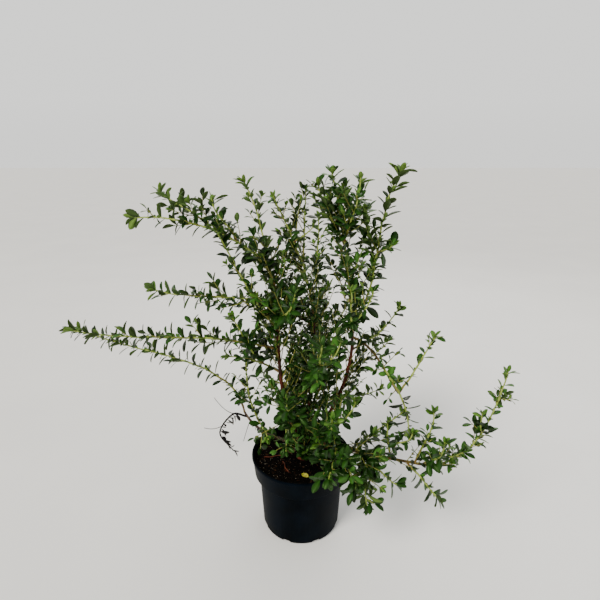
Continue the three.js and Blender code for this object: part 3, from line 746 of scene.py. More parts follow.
# Of each shoot: its parent and the share of it where the shoot forks off, the shoot's tip, its
# slopes at foot and tip and its swing to the side in degrees, and its own forks in the same way.
SHOOTS = {
    "upper_left": ("left_stem", 1, (-262, -40, 607), 85, -10, 30, [
        (0.55, (-232, 0, 646), 44, 32), (0.4, (-131, -70, 640), 70, 88)]),
    "left_upright": ("left_stem", 0.93, (-97, 30, 660), 60, 60, -25, []),
    "middle_upright": ("centre_stem", 1, (-46, 0, 638), 85, 60, -26, [
        (0.42, (8, 62, 648), 70, 72), (0.62, (22, 20, 590), 40, 70)]),
    "mid_left": ("centre_stem", 0.93, (-262, 12, 476), 50, 16, 0, []),
    "low_left_upper": ("left_stem", 0.66, (-384, -50, 425), 24, 12, 8, []),
    "low_left": ("low_left_stem", 1, (-422, 52, 388), 80, 34, -12, []),
    "inner_left": ("left_stem", 0.52, (-138, 20, 345), 20, 2, -12, [
        (0.3, (-112, -62, 452), 40, 55)]),
    "rim_left": ("low_left_stem", 0.55, (-98, 5, 356), 60, 100, 0, [
        (0.2, (-60, -44, 208), 10, -20)]),
    "top": ("right_stem", 1, (47, -20, 676), 84, 68, -14, [
        (0.45, (27, 40, 656), 60, 70), (0.5, (88, -54, 668), 60, 85)]),
    "tall_right": ("right_stem", 0.88, (162, 12, 678), 60, 55, -24, [
        (0.42, (112, 40, 612), 70, 100), (0.5, (150, -20, 560), 30, 50)]),
    "upper_right": ("right_stem", 0.72, (180, 34, 438), 5, 70, 20, [
        (0.35, (158, 75, 380), 0, 50)]),
    "right": ("right_bough", 1, (224, -50, 414), 60, 66, 0, []),
    "mid_right": ("right_bough", 0.55, (150, -120, 372), 10, 60, 0, []),
    "far_right": ("low_right_stem", 1, (343, -70, 360), 8, 80, -16, [
        (0.5, (296, -100, 300), 20, 80), (0.75, (362, -40, 300), 30, 60)]),
    "right_rising": ("low_right_stem", 0.9, (228, -66, 282), 70, 100, 0, []),
    "right_outer": ("low_right_stem", 0.96, (226, -140, 270), 50, 90, 0, [
        (0.4, (268, -120, 246), 40, 80)]),
    "right_inner": ("low_right_stem", 0.72, (152, -58, 256), 70, 90, 0, [
        (0.3, (186, -100, 262), 60, 85)]),
    "right_hanging": ("low_right_stem", 0.84, (236, -118, 140), -25, -30, 0, []),
    "right_low": ("low_right_stem", 0.4, (190, -14, 250), 20, 55, 30, []),
    "front_right": ("front_stem", 1, (160, -122, 176), 0, -12, 0, [
        (0.25, (110, -130, 138), -20, -50)]),
    "front": ("front_stem", 0.8, (44, -146, 206), 25, -20, 0, [
        (0.3, (92, -136, 186), -5, -30)]),
    "front_rising": ("front_stem", 0.6, (46, -160, 324), 65, 65, 0, [
        (0.35, (82, -140, 346), 60, 80)]),
    "front_left": ("left_stem", 0.3, (-22, -130, 334), 20, 65, 0, [
        (0.25, (-26, -84, 214), -10, -20)]),
    "middle_front": ("centre_stem", 0.55, (27, -185, 455), 30, 60, 0, [
        (0.35, (62, -100, 425), 50, 75)]),
    "middle_left": ("left_stem", 0.85, (-8, -120, 508), 25, 60, 0, []),
    "middle_right": ("right_stem", 0.84, (70, -138, 520), 30, 65, 0, [
        (0.3, (112, -76, 500), 55, 78)]),
    "back_upright": ("back_stem", 1, (34, 140, 588), 80, 84, 0, [
        (0.35, (-20, 178, 518), 55, 70)]),
    "back_right": ("back_stem", 0.85, (130, 180, 482), 35, 62, 0, []),
    "back_middle": ("back_stem", 0.9, (56, 235, 412), 20, 55, 0, []),
    "back_left": ("back_stem", 0.75, (-96, 195, 362), 25, 50, 0, []),
    "back_outer_right": ("back_stem", 0.55, (196, 180, 312), 20, 45, 0, []),
    "back_low_left": ("back_stem", 0.4, (-92, 205, 222), 12, 10, 0, []),
    "back_low": ("back_stem", 0.45, (36, 245, 190), 15, -15, 0, []),
    "back_low_right": ("back_stem", 0.3, (180, 160, 200), 22, 5, 0, []),
    "second_left": ("left_stem", 0.79, (-129, -66, 592), 50, 62, 0, []),
    "right_drooping": ("right_bough", 0.78, (186, -74, 244), -20, -85, 0, []),
}
STEM = {
    "thick": (4.3, 2.2), "fork": (3.4, 1.9), "step": 7, "sides": 7, "waver": 1.6, "wave": 23,
    "steady": 15, "joint": 0.08, "seed": 5,
}

# Each shoot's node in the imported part. The seed keeps the stems' waver the same on each run.
shoot_nodes = [name + "_shoot" for name in SHOOTS]
noise.seed_set(STEM["seed"])
stems = []
for number, (name, (parent, share, tip, leave, arrive, turn, forks)) in enumerate(SHOOTS.items()):
    tip = Vector(tip)
    foot = foot_on(wood[parent], share, tip)
    main = Arch(foot, tip, leave, arrive, STEM["thick"], turn)
    stems.append({"arch": main, "shoot": name, "from": 0, "number": number * 10})
    for rank, (at, fork_tip, fork_leave, fork_arrive) in enumerate(forks, 1):
        side = Arch(main.at(at), Vector(fork_tip), fork_leave, fork_arrive, STEM["fork"])
        stems.append({"arch": side, "shoot": name, "from": at, "number": number * 10 + rank})


def sweep_tree():
    """Sweeps a round section along every spline, each point's own radius giving its thickness."""
    tree, start, end = new_tree("swept_stems", [("Sides", "Int"), ("Finish", "Material")])
    section = new_node(tree, "GeometryNodeCurvePrimitiveCircle", Radius=1)
    radius = new_node(tree, "GeometryNodeInputRadius")
    sweep = new_node(tree, "GeometryNodeCurveToMesh", Fill_Caps=True)
    smooth = new_node(tree, "GeometryNodeSetShadeSmooth")
    wire(tree, (start, "Sides", section, "Resolution"), (section, "Curve", sweep, "Profile Curve"))
    wire(tree, (start, "Geometry", sweep, "Curve"), (radius, "Radius", sweep, "Scale"))
    wire(tree, (sweep, "Mesh", smooth, "Geometry"))
    wire(tree, (coated(tree, start, smooth, "Geometry"), "Geometry", end, "Geometry"))
    return tree


swept = sweep_tree()


def swept_piece(name, lines, sides, material, nodes):
    """One piece of many stems; each line is a list of (point, radius) in mm."""
    curve = bpy.data.curves.new(name, "CURVE")
    curve.dimensions = "3D"
    for line in lines:
        spline = curve.splines.new("POLY")
        spline.points.add(len(line) - 1)
        for spot, (point, radius) in zip(spline.points, line):
            spot.co = (*(point * MM), 1)
            spot.radius = radius * MM
    source = link_object(name + "_lines", curve)
    mesh = grown(source, swept, {"Sides": sides, "Finish": material})
    finished(name, mesh, None, nodes)


def stem_line(stem, low, high):
    """The part of a stem between two shares, with a slight waver at each leaf joint."""
    arch = stem["arch"]
    steps = max(2, round(arch.length * (high - low) / STEM["step"]))
    line = []
    for i in range(steps + 1):
        share = low + (high - low) * i / steps
        point = arch.at(share)
        sway = noise.noise_vector(point / STEM["wave"] + Vector((stem["number"], 0, 0))) * STEM["waver"]
        sway *= min(1, share * arch.length / STEM["steady"])
        swell = 1 + STEM["joint"] * math.cos(math.pi * i)
        line.append((point + sway, arch.thickness(share) / 2 * swell))
    return line


STEM_TONES = {
    "brown_stems": ((0, 0.09), ["4f3a1a", "6f5826", "836e32"]),
    "tan_stems": ((0.085, 0.26), ["6c6a2c", "828238", "969548"]),
    "green_stems": ((0.255, 1), ["7c8c36", "93a546", "aab85e"]),
}
for name, ((low, high), codes) in STEM_TONES.items():
    material = painted(name, 0.55, codes, 120, 4, relief=(0.0006, 0.3))
    lines = [stem_line(stem, low, high) for stem in stems]
    swept_piece(name, lines, STEM["sides"], material, shoot_nodes)

# The twigs. In the axils of some leaves, most of them near a stem's foot, a short side twig grows
# out, leans up and carries smaller leaves. Older limbs bear them too, so the middle is dense.
TWIG = {
    "longest": 88, "shortest": 12, "thick": (1.8, 1.0), "lean": 48, "lift": 0.4, "pitch": 6.5,
    "step": 6, "bow": 0.08, "leaf_lean": (42, 68), "leaf_size": (0.62, 0.95), "bright": 0.22,
    "rosette": (0.66, 3), "tip_leaf": (6, 0.8), "often": 1.5, "rarer": 1.3, "last": 0.93,
    "part": (0.45, 1), "beside": 60, "inner": 125, "inner_x": -40, "thinned": 0.75, "sides": 5,
}
LIMB_TWIG = {
    "longest": 95, "shortest": 28, "pitch": 8.5, "bare": 0.06, "lift": 0.75, "crowd": 0.82,
    "seat": 0.3, "leaf": (0.95, 1.35),
}
STOCK_TWIGS = {"count": 30, "reach": (24, 60)}
LEAF = {
    "pitch": 7.7, "length": (17, 28), "width": 0.46, "vary": (0.88, 1.12), "lean": (58, 86),
    "slack": 14, "swing": 18, "foot_size": 1.05, "shrink": 0.16, "middle": 0.55, "rise": 0.12,
    "face_up": 0.6, "roll": 16,
}
CLUSTER = {
    "share": 0.66, "leaves": (1, 3), "size": (0.36, 0.6), "lean": 34, "spread": 9, "apart": 62,
    "space": 2.4,
}
ROSETTE = {
    "leaves": 5, "heart": (4, 9, 0.85), "foot": 3.5, "pitch": 1.6, "lean": 26, "spread": 9,
    "size": 0.78, "growth": 0.08, "space": 2.2,
}

# Of the shoots that differ from the usual: how large their leaves are, the chance of a twig at
# each leaf, and how closely the leaves stand.
HABIT = {
    "front_right": (1.22, 0.9, 1), "front": (1.22, 0.9, 1),
    "front_left": (1, 0.9, 1), "front_rising": (0.95, 0.25, 1),
    "right_hanging": (1.1, 0.3, 1.1), "right_drooping": (1.15, 0.8, 1.3),
    "top": (1.05, 1, 1.15), "tall_right": (1.18, 0.2, 1.6),
    "upper_left": (1.06, 0.36, 1.15), "second_left": (0.98, 0.42, 1.05),
    "left_upright": (0.98, 0.75, 1.1), "middle_upright": (0.85, 0.65, 1.1),
    "back_upright": (0.95, 0.5, 1), "rim_left": (0.85, 0.15, 1.15),
    "low_left": (1.08, 0.2, 1.35), "low_left_upper": (1.1, 0.2, 1.3),
    "mid_left": (1.12, 0.6, 1.4), "right_rising": (0.88, 0.2, 1.1),
    "right_outer": (0.88, 0.25, 1.2), "right_inner": (0.85, 0.12, 0.95),
    "right_low": (0.85, 0.15, 1), "upper_right": (0.95, 0.25, 1),
    "far_right": (0.88, 0.5, 1.05), "middle_right": (0.85, 0.12, 0.95),
    "mid_right": (0.72, 0.3, 1), "right": (0.92, 0.16, 1),
    "middle_left": (1, 0.5, 1.1),
}
USUAL_HABIT = (1, 0.33, 1)
BARE_FOOT = {"right_drooping": 0.35, "right": 0.3, "rim_left": 0.2}
USUAL_BARE_FOOT = 0.05

# The shoots that end in grown leaves and not in bright young ones, and how rich in twigs the
# limbs are. The golden angle turns each leaf on from the last.
MATURE = [
    "front_right", "front", "front_left", "right_hanging", "mid_right",
    "middle_front", "middle_left",
]
LIMB_RICHNESS = {
    "centre_stem": 1.8, "left_stem": 2.2, "right_stem": 1.45, "right_bough": 0.2,
    "low_right_stem": 0.45, "low_left_stem": 0.12, "front_stem": 0.45,
}
GOLDEN = 137.5
BASAL = {
    "count": 12, "from": -150, "to": -5, "slope": (18, 50), "reach": (34, 66), "leaf": (18, 24),
    "root": (0.15, 0.6), "seat": 5,
}
SPACE = {"leaf": 4.6, "limb": 1.2, "pot": 1.5, "box": 1, "tries": 4, "cell": 8, "limb_step": 12}
solid_paths = []
for limb in wood.values():
    count = max(2, round(limb.length / SPACE["limb_step"]))
    places = np.array([limb.at(i / count) for i in range(count + 1)])
    solid_paths.append((places, limb.thickness(0) / 2))
limb_a = np.concatenate([places[:-1] for places, _ in solid_paths])
limb_b = np.concatenate([places[1:] for places, _ in solid_paths])
limb_r = np.concatenate([np.full(len(places) - 1, radius) for places, radius in solid_paths])


def clear_of_limbs(point):
    """True if no limb comes within the clearance of a point."""
    spot = np.array(point)
    along = limb_b - limb_a
    share = np.clip(((spot - limb_a) * along).sum(1) / (along * along).sum(1), 0, 1)
    gaps = np.linalg.norm(limb_a + along * share[:, None] - spot, axis=1)
    return bool((gaps > limb_r + SPACE["limb"]).all())


def clear_of_pot(point):
    """True if a point keeps its clearance from the pot, the peat and the ground."""
    radius = math.hypot(point.x, point.y)
    if radius < inner_lip - SPACE["pot"]:
        return point.z > SOIL["top"] + SPACE["pot"]
    if radius < POT["lip_radius"] + SPACE["pot"]:
        return point.z > POT["height"] + SPACE["pot"]
    return point.z > SPACE["pot"]


# The crown is open along these lines of sight from the camera, where daylight shows through it
# or one of the two red stems does. Each line passes through (x, height) in the plane of the
# pot's middle. Twigs and their leaves keep its radius away, and leaves on a stem itself don't.
EYE = Vector(camera.location) / MM
OPENINGS = [
    ((18, 589), 26), ((8, 549), 17), ((143, 569), 19), ((130, 426), 24), ((127, 481), 19),
    ((168, 327), 20), ((143, 283), 19), ((90, 200), 22), ((110, 277), 13),
    ((-68, 333), 20), ((-46, 314), 13), ((-47, 239), 14), ((-93, 239), 16), ((-136, 397), 18),
    ((-69, 481), 11), ((-108, 539), 11), ((-56, 589), 11), ((-91, 594), 11),
    ((-199, 667), 20), ((-206, 448), 20), ((-20, 150), 11), ((190, 75), 22), ((222, 193), 13),
    ((56, 462), 12), ((75, 457), 13), ((-84, 212), 11),
    ((-33, 366), 10), ((-37, 335), 10), ((-33, 300), 10), ((87, 393), 10),
    ((88, 362), 10), ((82, 331), 10), ((74, 298), 10),
]


def in_opening(point):
    """True where the crown is open, so that daylight shows through it from the front."""
    for (x, z), radius in OPENINGS:
        sight = (Vector((x, 0, z)) - EYE).normalized()
        offset = point - EYE
        if (offset - sight * offset.dot(sight)).length < radius:
            return True
    return False


taken = {}


def room_for(middle, space):
    """True, and the place is taken, if no other leaf's middle is too near."""
    cell = tuple(int(c // SPACE["cell"]) for c in middle)
    for beside in itertools.product((-1, 0, 1), repeat=3):
        for other in taken.get(tuple(c + step for c, step in zip(cell, beside)), ()):
            if (other - middle).length < space:
                return False
    taken.setdefault(cell, []).append(middle)
    return True


UP = Vector((0, 0, 1))
ASKEW = Vector((0.31, 0.17, 1))
beyond = Vector((SPACE["box"],) * 3)
box_low = Vector(solids_box[0]) / MM - beyond
box_high = Vector(solids_box[1]) / MM + beyond

# The leaves come in five tones. The leaves of a shoot or twig share one, drawn from TONES.
sprays = {"deep": [], "dark": [], "mid": [], "fresh": [], "young": []}
TONES = ["deep", "dark", "dark", "mid", "mid", "fresh"]


def sideways(along, angle):
    """The direction square to a stem at an angle round it."""
    first = ASKEW.cross(along).normalized()
    return Quaternion(along, math.radians(angle)) @ first


def add_leaf(dice, tone, root, along, angle, lean, length, space=SPACE["leaf"], on_stem=False):
    """One leaf, if it has room: its place, turn and size go to the spray of its tone."""
    around = sideways(along, angle)
    way = along * math.cos(math.radians(lean)) + around * math.sin(math.radians(lean))
    way = (way + UP * LEAF["rise"]).normalized()
    middle, end = root + way * length * LEAF["middle"], root + way * length
    inside = all(box_low[i] < end[i] < box_high[i] for i in range(3))
    if not inside or not clear_of_pot(end) or not clear_of_pot(middle):
        return
    if not on_stem and in_opening(middle):
        return
    if not clear_of_limbs(end) or not room_for(middle, space):
        return
    face = along + UP * LEAF["face_up"]
    across = face.cross(way).normalized()
    across = Quaternion(way, math.radians(dice.gauss(0, LEAF["roll"]))) @ across
    normal = way.cross(across).normalized()
    turn = Matrix((way, across, normal)).transposed().to_quaternion()
    width = length * LEAF["width"] * dice.uniform(*LEAF["vary"])
    sprays[tone].append((root, turn, (length, width, length), dice.randrange(4)))


def add_rosette(dice, tip, along, size, leaves, tone="young"):
    """The cluster of leaves that ends a stem or twig: one upright heart and some round it."""
    start = dice.uniform(0, 360)
    space = ROSETTE["space"]
    back, lean, share = ROSETTE["heart"]
    add_leaf(dice, tone, tip - along * back, along, start, lean, size * share, space, True)
    for i in range(leaves):
        root = tip - along * (ROSETTE["foot"] + ROSETTE["pitch"] * i)
        lean = ROSETTE["lean"] + ROSETTE["spread"] * i
        length = size * (ROSETTE["size"] + ROSETTE["growth"] * i)
        add_leaf(dice, tone, root, along, start + i * GOLDEN, lean, length, space, True)


def bowed(root, bend, end, steps):
    """A path from root to end that is drawn towards a bend."""
    path = []
    for i in range(steps + 1):
        t = i / steps
        path.append(root * (1 - t) ** 2 + bend * (2 * t * (1 - t)) + end * t * t)
    return path


def tapered(path, foot, tip):
    """A line of (point, radius) along a path, between the thicknesses of its foot and tip."""
    last = len(path) - 1
    return [(point, (foot + (tip - foot) * i / last) / 2) for i, point in enumerate(path)]


twig_lines = []


def lay_twig(dice, tone, root, way, bow, angle, reach, leaf_size):
    """A twig and its leaves, from its root in a given direction; False where it isn't free."""
    end = root + way * reach
    bend = root.lerp(end, 0.5) + bow * reach * TWIG["bow"]
    for point in (end, bend):
        if not clear_of_pot(point) or not clear_of_limbs(point) or in_opening(point):
            return False
    steps = max(3, round(reach / TWIG["step"]))
    path = bowed(root, bend, end, steps)
    twig_lines.append(tapered(path, *TWIG["thick"]))
    nodes = int(reach / TWIG["pitch"])
    for i in range(1, nodes + 1):
        place = i / (nodes + 0.6) * steps
        low = min(int(place), steps - 1)
        spot = path[low].lerp(path[low + 1], place - low)
        ahead = (path[low + 1] - path[low]).normalized()
        lean = dice.uniform(*TWIG["leaf_lean"])
        size = leaf_size * dice.uniform(*TWIG["leaf_size"])
        add_leaf(dice, tone, spot, ahead, angle + i * GOLDEN, lean, size)
    ahead = (path[-1] - path[-2]).normalized()
    if dice.random() < TWIG["bright"]:
        share, leaves = TWIG["rosette"]
        add_rosette(dice, end, ahead, leaf_size * share, leaves)
    else:
        lean, share = TWIG["tip_leaf"]
        add_leaf(dice, tone, end - ahead, ahead, angle, lean, leaf_size * share)
    return True


def add_twig(dice, tone, root, along, angle, reach, leaf_size, lift=TWIG["lift"]):
    """A side twig that leans out from its stem, on the first side where it is free."""
    lean = math.radians(TWIG["lean"])
    for attempt in range(SPACE["tries"]):
        around = sideways(along, angle + attempt * 360 / SPACE["tries"])
        way = (along * math.cos(lean) + around * math.sin(lean) + UP * lift).normalized()
        if lay_twig(dice, tone, root, way, around, angle, reach, leaf_size):
            return


for stem in stems:
    dice = random.Random(100 + stem["number"])
    arch = stem["arch"]
    larger, twiggy, closer = HABIT.get(stem["shoot"], USUAL_HABIT)
    bare = BARE_FOOT.get(stem["shoot"], USUAL_BARE_FOOT)
    tone = dice.choice(TONES)
    nodes = round(arch.length * (1 - bare) / LEAF["pitch"] * closer)
    least, most = LEAF["lean"]
    for i in range(nodes):
        share = bare + (1 - bare) * (i + dice.uniform(0.2, 0.8)) / nodes
        root, along = arch.at(share), arch.way(share)
        angle = (i + stem["from"] * 7) * GOLDEN + dice.uniform(-LEAF["swing"], LEAF["swing"])
        size = dice.uniform(*LEAF["length"]) * larger * (LEAF["foot_size"] - LEAF["shrink"] * share)
        lean = most + (least - most) * share + dice.gauss(0, LEAF["slack"])
        add_leaf(dice, tone, root, along, angle, lean, size, on_stem=True)
        if dice.random() < CLUSTER["share"]:
            for k in range(dice.randint(*CLUSTER["leaves"])):
                small = size * dice.uniform(*CLUSTER["size"])
                beside = angle + (k - 1) * CLUSTER["apart"]
                lean = CLUSTER["lean"] + CLUSTER["spread"] * k
                add_leaf(dice, "fresh", root, along, beside, lean, small, CLUSTER["space"], True)
        often = TWIG["often"] - TWIG["rarer"] * share
        if dice.random() < twiggy / closer * often and share < TWIG["last"]:
            spare = (TWIG["longest"] - TWIG["shortest"]) * (1 - share)
            out = math.hypot(root.x - TWIG["inner_x"], root.y) - TWIG["inner"]
            spare *= 1 - TWIG["thinned"] * min(1, max(0, out / TWIG["inner"]))
            reach = TWIG["shortest"] + spare * dice.uniform(*TWIG["part"])
            add_twig(dice, dice.choice(TONES), root, along, angle + TWIG["beside"], reach, size)
    size = LEAF["length"][0] * larger * (1.0 if stem["from"] else 1.15)
    end_tone = "mid" if stem["shoot"] in MATURE else "young"
    add_rosette(dice, arch.at(1), arch.way(1), size, ROSETTE["leaves"], end_tone)

for number, (name, limb) in enumerate(wood.items()):
    dice = random.Random(500 + number)
    rich = LIMB_RICHNESS.get(name, 1)
    bare = LIMB_TWIG["bare"]
    nodes = round(limb.length * (1 - bare) / LIMB_TWIG["pitch"] * rich)
    shortest, longest = LIMB_TWIG["shortest"], LIMB_TWIG["longest"] * min(1, rich)
    if name == "rootstock":
        nodes = STOCK_TWIGS["count"]
        shortest, longest = STOCK_TWIGS["reach"]
    for i in range(nodes):
        share = bare + (1 - bare) * ((i + dice.random()) / nodes) ** LIMB_TWIG["crowd"]
        root, along = limb.at(share), limb.way(share)
        reach = dice.uniform(shortest, longest)
        around = sideways(along, i * GOLDEN)
        root = root + around * limb.thickness(share) * LIMB_TWIG["seat"]
        tone, size = dice.choice(TONES), LEAF["length"][0] * dice.uniform(*LIMB_TWIG["leaf"])
        add_twig(dice, tone, root, along, i * GOLDEN, reach, size, LIMB_TWIG["lift"])

# A few twigs rise straight from the rootstock, fanned out towards the front.
dice = random.Random(77)
for k in range(BASAL["count"]):
    heading = math.radians(BASAL["from"] + (BASAL["to"] - BASAL["from"]) * (k + 0.5) / BASAL["count"])
    slope = math.radians(dice.uniform(*BASAL["slope"]))
    flat = Vector((math.cos(heading), math.sin(heading), 0))
    way = flat * math.cos(slope) + UP * math.sin(slope)
    root = wood["rootstock"].at(dice.uniform(*BASAL["root"])) + flat * BASAL["seat"]
    reach = dice.uniform(*BASAL["reach"])
    size = dice.uniform(*BASAL["leaf"])
    lay_twig(dice, dice.choice(TONES), root, way, UP, k * GOLDEN, reach, size)

material = painted("twigs", 0.6, ["76702f", "88883d", "98a24b"], 90, 4)
swept_piece("twigs", twig_lines, TWIG["sides"], material, shoot_nodes)

# The leaves: small, thick and glossy, widest past the middle, folded a little along the midrib
# and bent back at the tip. Old ones are dark green, young ones bright, and undersides are paler.
STATIONS = [0.0, 0.1, 0.26, 0.42, 0.6, 0.79, 0.93, 1.0]
HALF_WIDTHS = [0.035, 0.08, 0.28, 0.44, 0.5, 0.42, 0.22, 0.0]
THICK = {"blade": 0.022, "ends": 0.2}


def record(mesh, name, kind, domain, field, values):
    """Stores a named value for each point or face of a mesh."""
    mesh.attributes.new(name, kind, domain).data.foreach_set(field, values)


def leaf_mesh(name, fold, bend, twist):
    """A leaf one unit long along X, one wide and thin, closed all round."""
    points, faces, under = [], [], []
    for t, half in zip(STATIONS, HALF_WIDTHS):
        droop = -bend * t * t
        for side in (-1, 0, 1):
            y = side * half
            points.append((t, y, droop + fold * half * abs(side) + twist * t * y))
        points.append((t, 0, droop - THICK["blade"] * (1 if 0 < t < 1 else THICK["ends"])))
    tip = len(points) - 4
    for i in range(len(STATIONS) - 1):
        a, b = 4 * i, 4 * (i + 1)
        if b == tip:
            faces += [(a, b + 1, a + 1), (a + 1, b + 1, a + 2), (a, a + 3, b + 1), (a + 3, a + 2, b + 1)]
            under += [False, False, True, True]
            continue
        faces += [(a, b, b + 1, a + 1), (a + 1, b + 1, b + 2, a + 2)]
        faces += [(a, a + 3, b + 3, b), (a + 3, a + 2, b + 2, b + 3)]
        under += [False, False, True, True]
    faces += [(0, 1, 3), (1, 2, 3)]
    under += [True, True]
    mesh = new_mesh(name, points, faces, True)
    record(mesh, "under", "BOOLEAN", "FACE", "value", under)
    mesh.validate()
    return mesh


def leafing_tree():
    """Puts a leaf on every point, with the point's own turn and size, and paints both faces."""
    sockets = [(f"Leaf {i}", "Object") for i in range(1, 5)]
    tree, start, end = new_tree("leaves", sockets + [("Upper", "Material"), ("Under", "Material")])
    bunch = new_node(tree, "GeometryNodeJoinGeometry")
    for i in range(1, 5):
        info = new_node(tree, "GeometryNodeObjectInfo", As_Instance=True)
        wire(tree, (start, f"Leaf {i}", info, "Object"), (info, "Geometry", bunch, "Geometry"))
    kinds = {"turn": "QUATERNION", "size": "FLOAT_VECTOR", "shape": "INT", "under": "BOOLEAN"}
    read = {}
    for label, kind in kinds.items():
        read[label] = new_node(tree, "GeometryNodeInputNamedAttribute", Name=label)
        read[label].data_type = kind
    put = new_node(tree, "GeometryNodeInstanceOnPoints", Pick_Instance=True)
    wire(tree, (start, "Geometry", put, "Points"), (bunch, "Geometry", put, "Instance"))
    for label, into in (("shape", "Instance Index"), ("turn", "Rotation"), ("size", "Scale")):
        wire(tree, (read[label], "Attribute", put, into))
    upper = coated(tree, start, put, "Instances", "Upper")
    under = new_node(tree, "GeometryNodeSetMaterial")
    wire(tree, (upper, "Geometry", under, "Geometry"), (read["under"], "Attribute", under, "Selection"))
    wire(tree, (start, "Under", under, "Material"), (under, "Geometry", end, "Geometry"))
    return tree


SHEEN = {"Specular_Tint": (0.75, 1, 0.35, 1), "Coat_Tint": (0.9, 1, 0.7, 1), "Coat_Roughness": 0.25}


def leaf_finish(name, codes, roughness, gloss, coat):
    """A leaf's waxy face, with a greenish sheen and a thin coat where there is one."""
    material = painted(name, roughness, codes, 55, gloss=gloss, relief=(0.0008, 0.2))
    preset(material.node_tree.nodes["Principled BSDF"], Coat_Weight=coat, **SHEEN)
    return material


# Of each leaf pattern: its fold along the midrib, its bend back and its twist.
PATTERNS = [(0.1, 0.12, 0.0), (0.16, 0.24, 0.1), (0.06, 0.17, -0.1), (0.2, 0.06, 0.05)]
LEAF_TONES = {
    "deep": (0.15, ["081903", "0b2204", "0f2a07"], ["2d3c1d", "374823"]),
    "dark": (0.15, ["0b2505", "102f08", "16390c"], ["334522", "40542b"]),
    "mid": (0.22, ["15340b", "1d4111", "264e17"], ["42592c", "4f6a35"]),
    "fresh": (0.22, ["2a5217", "366320", "44732a"], ["556f34", "647f3d"]),
    "young": (0.22, ["3a5e1b", "4a7126", "5d8235"], ["55712c", "66833a"]),
}
patterns = {}
for i, shape in enumerate(PATTERNS, 1):
    name = f"leaf_pattern_{i}"
    patterns[f"Leaf {i}"] = link_object(name, leaf_mesh(name, *shape))
leafing = leafing_tree()
for tone, sites in sprays.items():
    gloss, upper_codes, under_codes = LEAF_TONES[tone]
    upper = leaf_finish(f"{tone}_leaf", upper_codes, 0.38, gloss, 0.12)
    under = leaf_finish(f"{tone}_leaf_underside", under_codes, 0.6, gloss, 0)
    roots, turns, sizes, shapes = zip(*sites)
    mesh = new_mesh(tone + "_sites", [root * MM for root in roots], [])
    record(mesh, "turn", "QUATERNION", "POINT", "value", [value for turn in turns for value in turn])
    lengths = [value * MM for size in sizes for value in size]
    record(mesh, "size", "FLOAT_VECTOR", "POINT", "vector", lengths)
    record(mesh, "shape", "INT", "POINT", "value", shapes)
    values = patterns | {"Upper": upper, "Under": under}
    leaves = grown(link_object(tone + "_sites", mesh), leafing, values)
    finished(f"{tone}_leaves", leaves, None, shoot_nodes)
for pattern in patterns.values():
    bpy.data.objects.remove(pattern)

# The dead shoot. It died and dried black, and hangs in a crook from near the end of the low left
# stem. Withered leaves cling to its inner side and to the stem, with three stiff threads of old
# leaf stalk.
DEAD = {
    "from": "low_left_stem", "at": 0.93, "crook": (-160, 21, 179), "tip": (-131, 0, 153),
    "bulge": (-135, 32, 214), "thick": (4.6, 2.0), "sides": 7, "steps": 9,
    "leaves": 24, "leaf": (9, 20), "bare": 0.25, "ways": [(0.45, 1), (-0.5, 0.4), (-0.9, -0.3)],
}
WITHERED = {
    "leaves": 9, "from": 0.42, "to": 0.8, "leaf": (6, 11),
    "ways": [(-0.8, 0.3), (-0.9, 0), (-0.9, 0.2)],
}
DRY_LEAF = {
    "sides": 6, "rolled": (0.7, 1.3), "breadth": (0.22, 0.46), "curl": 0.45, "drawn": 0.15,
    "flat": 0.35, "thin": 0.12,
}

# Of each thread: the share of its stem where it starts, its tip and how far it is drawn up.
DEAD_THREADS = [(0.3, (-166, 18, 259), -14), (0.55, (-187, 8, 199), -8)]
STEM_THREAD = (0.85, (-114, 21, 160), 4)
THREAD = {"steps": 8, "thick": (1.5, 1.0)}


def smooth_path(knots, steps):
    """Points on a smooth curve through the knots."""
    ends = [knots[0] * 2 - knots[1], *knots, knots[-1] * 2 - knots[-2]]
    path = []
    for i in range(len(knots) - 1):
        a, b, c, d = ends[i : i + 4]
        for k in range(steps):
            t = k / steps
            path.append(
                (b * 2 + (c - a) * t + (a * 2 - b * 5 + c * 4 - d) * t * t
                 + (b * 3 - a - c * 3 + d) * t**3) / 2
            )
    return path + [knots[-1]]


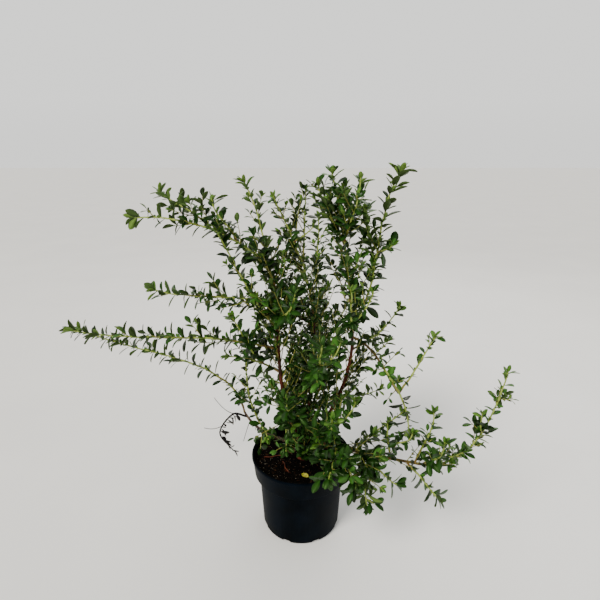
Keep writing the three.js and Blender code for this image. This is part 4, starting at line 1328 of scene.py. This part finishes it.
dice = random.Random(41)
parent = wood[DEAD["from"]]
bulge = Vector(DEAD["bulge"])
knots = [foot_on(parent, DEAD["at"], bulge), bulge, Vector(DEAD["crook"]), Vector(DEAD["tip"])]
dead_path = smooth_path(knots, DEAD["steps"])
last = len(dead_path) - 1
dead_lines = [tapered(dead_path, *DEAD["thick"])]
threads = [(dead_path[round(at * last)], tip, bow) for at, tip, bow in DEAD_THREADS]
threads.append((parent.at(STEM_THREAD[0]), *STEM_THREAD[1:]))
for root, tip, bow in threads:
    tip = Vector(tip)
    path = bowed(root, root.lerp(tip, 0.5) + UP * bow, tip, THREAD["steps"])
    dead_lines.append(tapered(path, *THREAD["thick"]))
material = painted("dead_wood", 0.85, ["060505", "0c0a09", "17120f"], 140, 5, relief=(0.0008, 0.6))
swept_piece("dead_stem", dead_lines, DEAD["sides"], material, ["dead_shoot"])


def withered_leaf(points, faces, root, way, length):
    """Adds a dry leaf, rolled up along its length and curled at the tip."""
    across = way.orthogonal().normalized()
    across = Quaternion(way, dice.uniform(0, 6.28)) @ across
    normal = way.cross(across)
    first, sides = len(points), DRY_LEAF["sides"]
    rolled, breadth = dice.uniform(*DRY_LEAF["rolled"]), dice.uniform(*DRY_LEAF["breadth"])
    for t, half in zip(STATIONS, HALF_WIDTHS):
        curl = rolled * t * t * length * DRY_LEAF["curl"]
        centre = root + way * length * (t - DRY_LEAF["drawn"] * t * t) + normal * curl
        for _, _, cos, sin in circle(sides):
            out = across * cos + normal * sin * DRY_LEAF["flat"]
            points.append((centre + out * max(DRY_LEAF["thin"], half * length * breadth)) * MM)
    faces += wall(first, len(STATIONS), sides)
    faces.append(tuple(first + k for k in reversed(range(sides))))
    faces.append(tuple(first + sides * (len(STATIONS) - 1) + k for k in range(sides)))


def any_way(ways):
    return Vector([dice.uniform(*limits) for limits in ways]).normalized()


points, faces = [], []
for i in range(DEAD["leaves"]):
    place = (DEAD["bare"] + (1 - DEAD["bare"]) * i / (DEAD["leaves"] - 1)) * last
    way = any_way(DEAD["ways"])
    withered_leaf(points, faces, dead_path[round(place)], way, dice.uniform(*DEAD["leaf"]))
for i in range(WITHERED["leaves"]):
    share = WITHERED["from"] + (WITHERED["to"] - WITHERED["from"]) * i / (WITHERED["leaves"] - 1)
    way = any_way(WITHERED["ways"])
    withered_leaf(points, faces, parent.at(share) + way * 2, way, dice.uniform(*WITHERED["leaf"]))
material = painted("dead_leaf", 0.8, ["080606", "110d0b", "211915"], 110, 4, relief=(0.001, 0.5))
finished("dead_leaves", new_mesh("dead_leaves", points, faces), material, ["dead_shoot"])
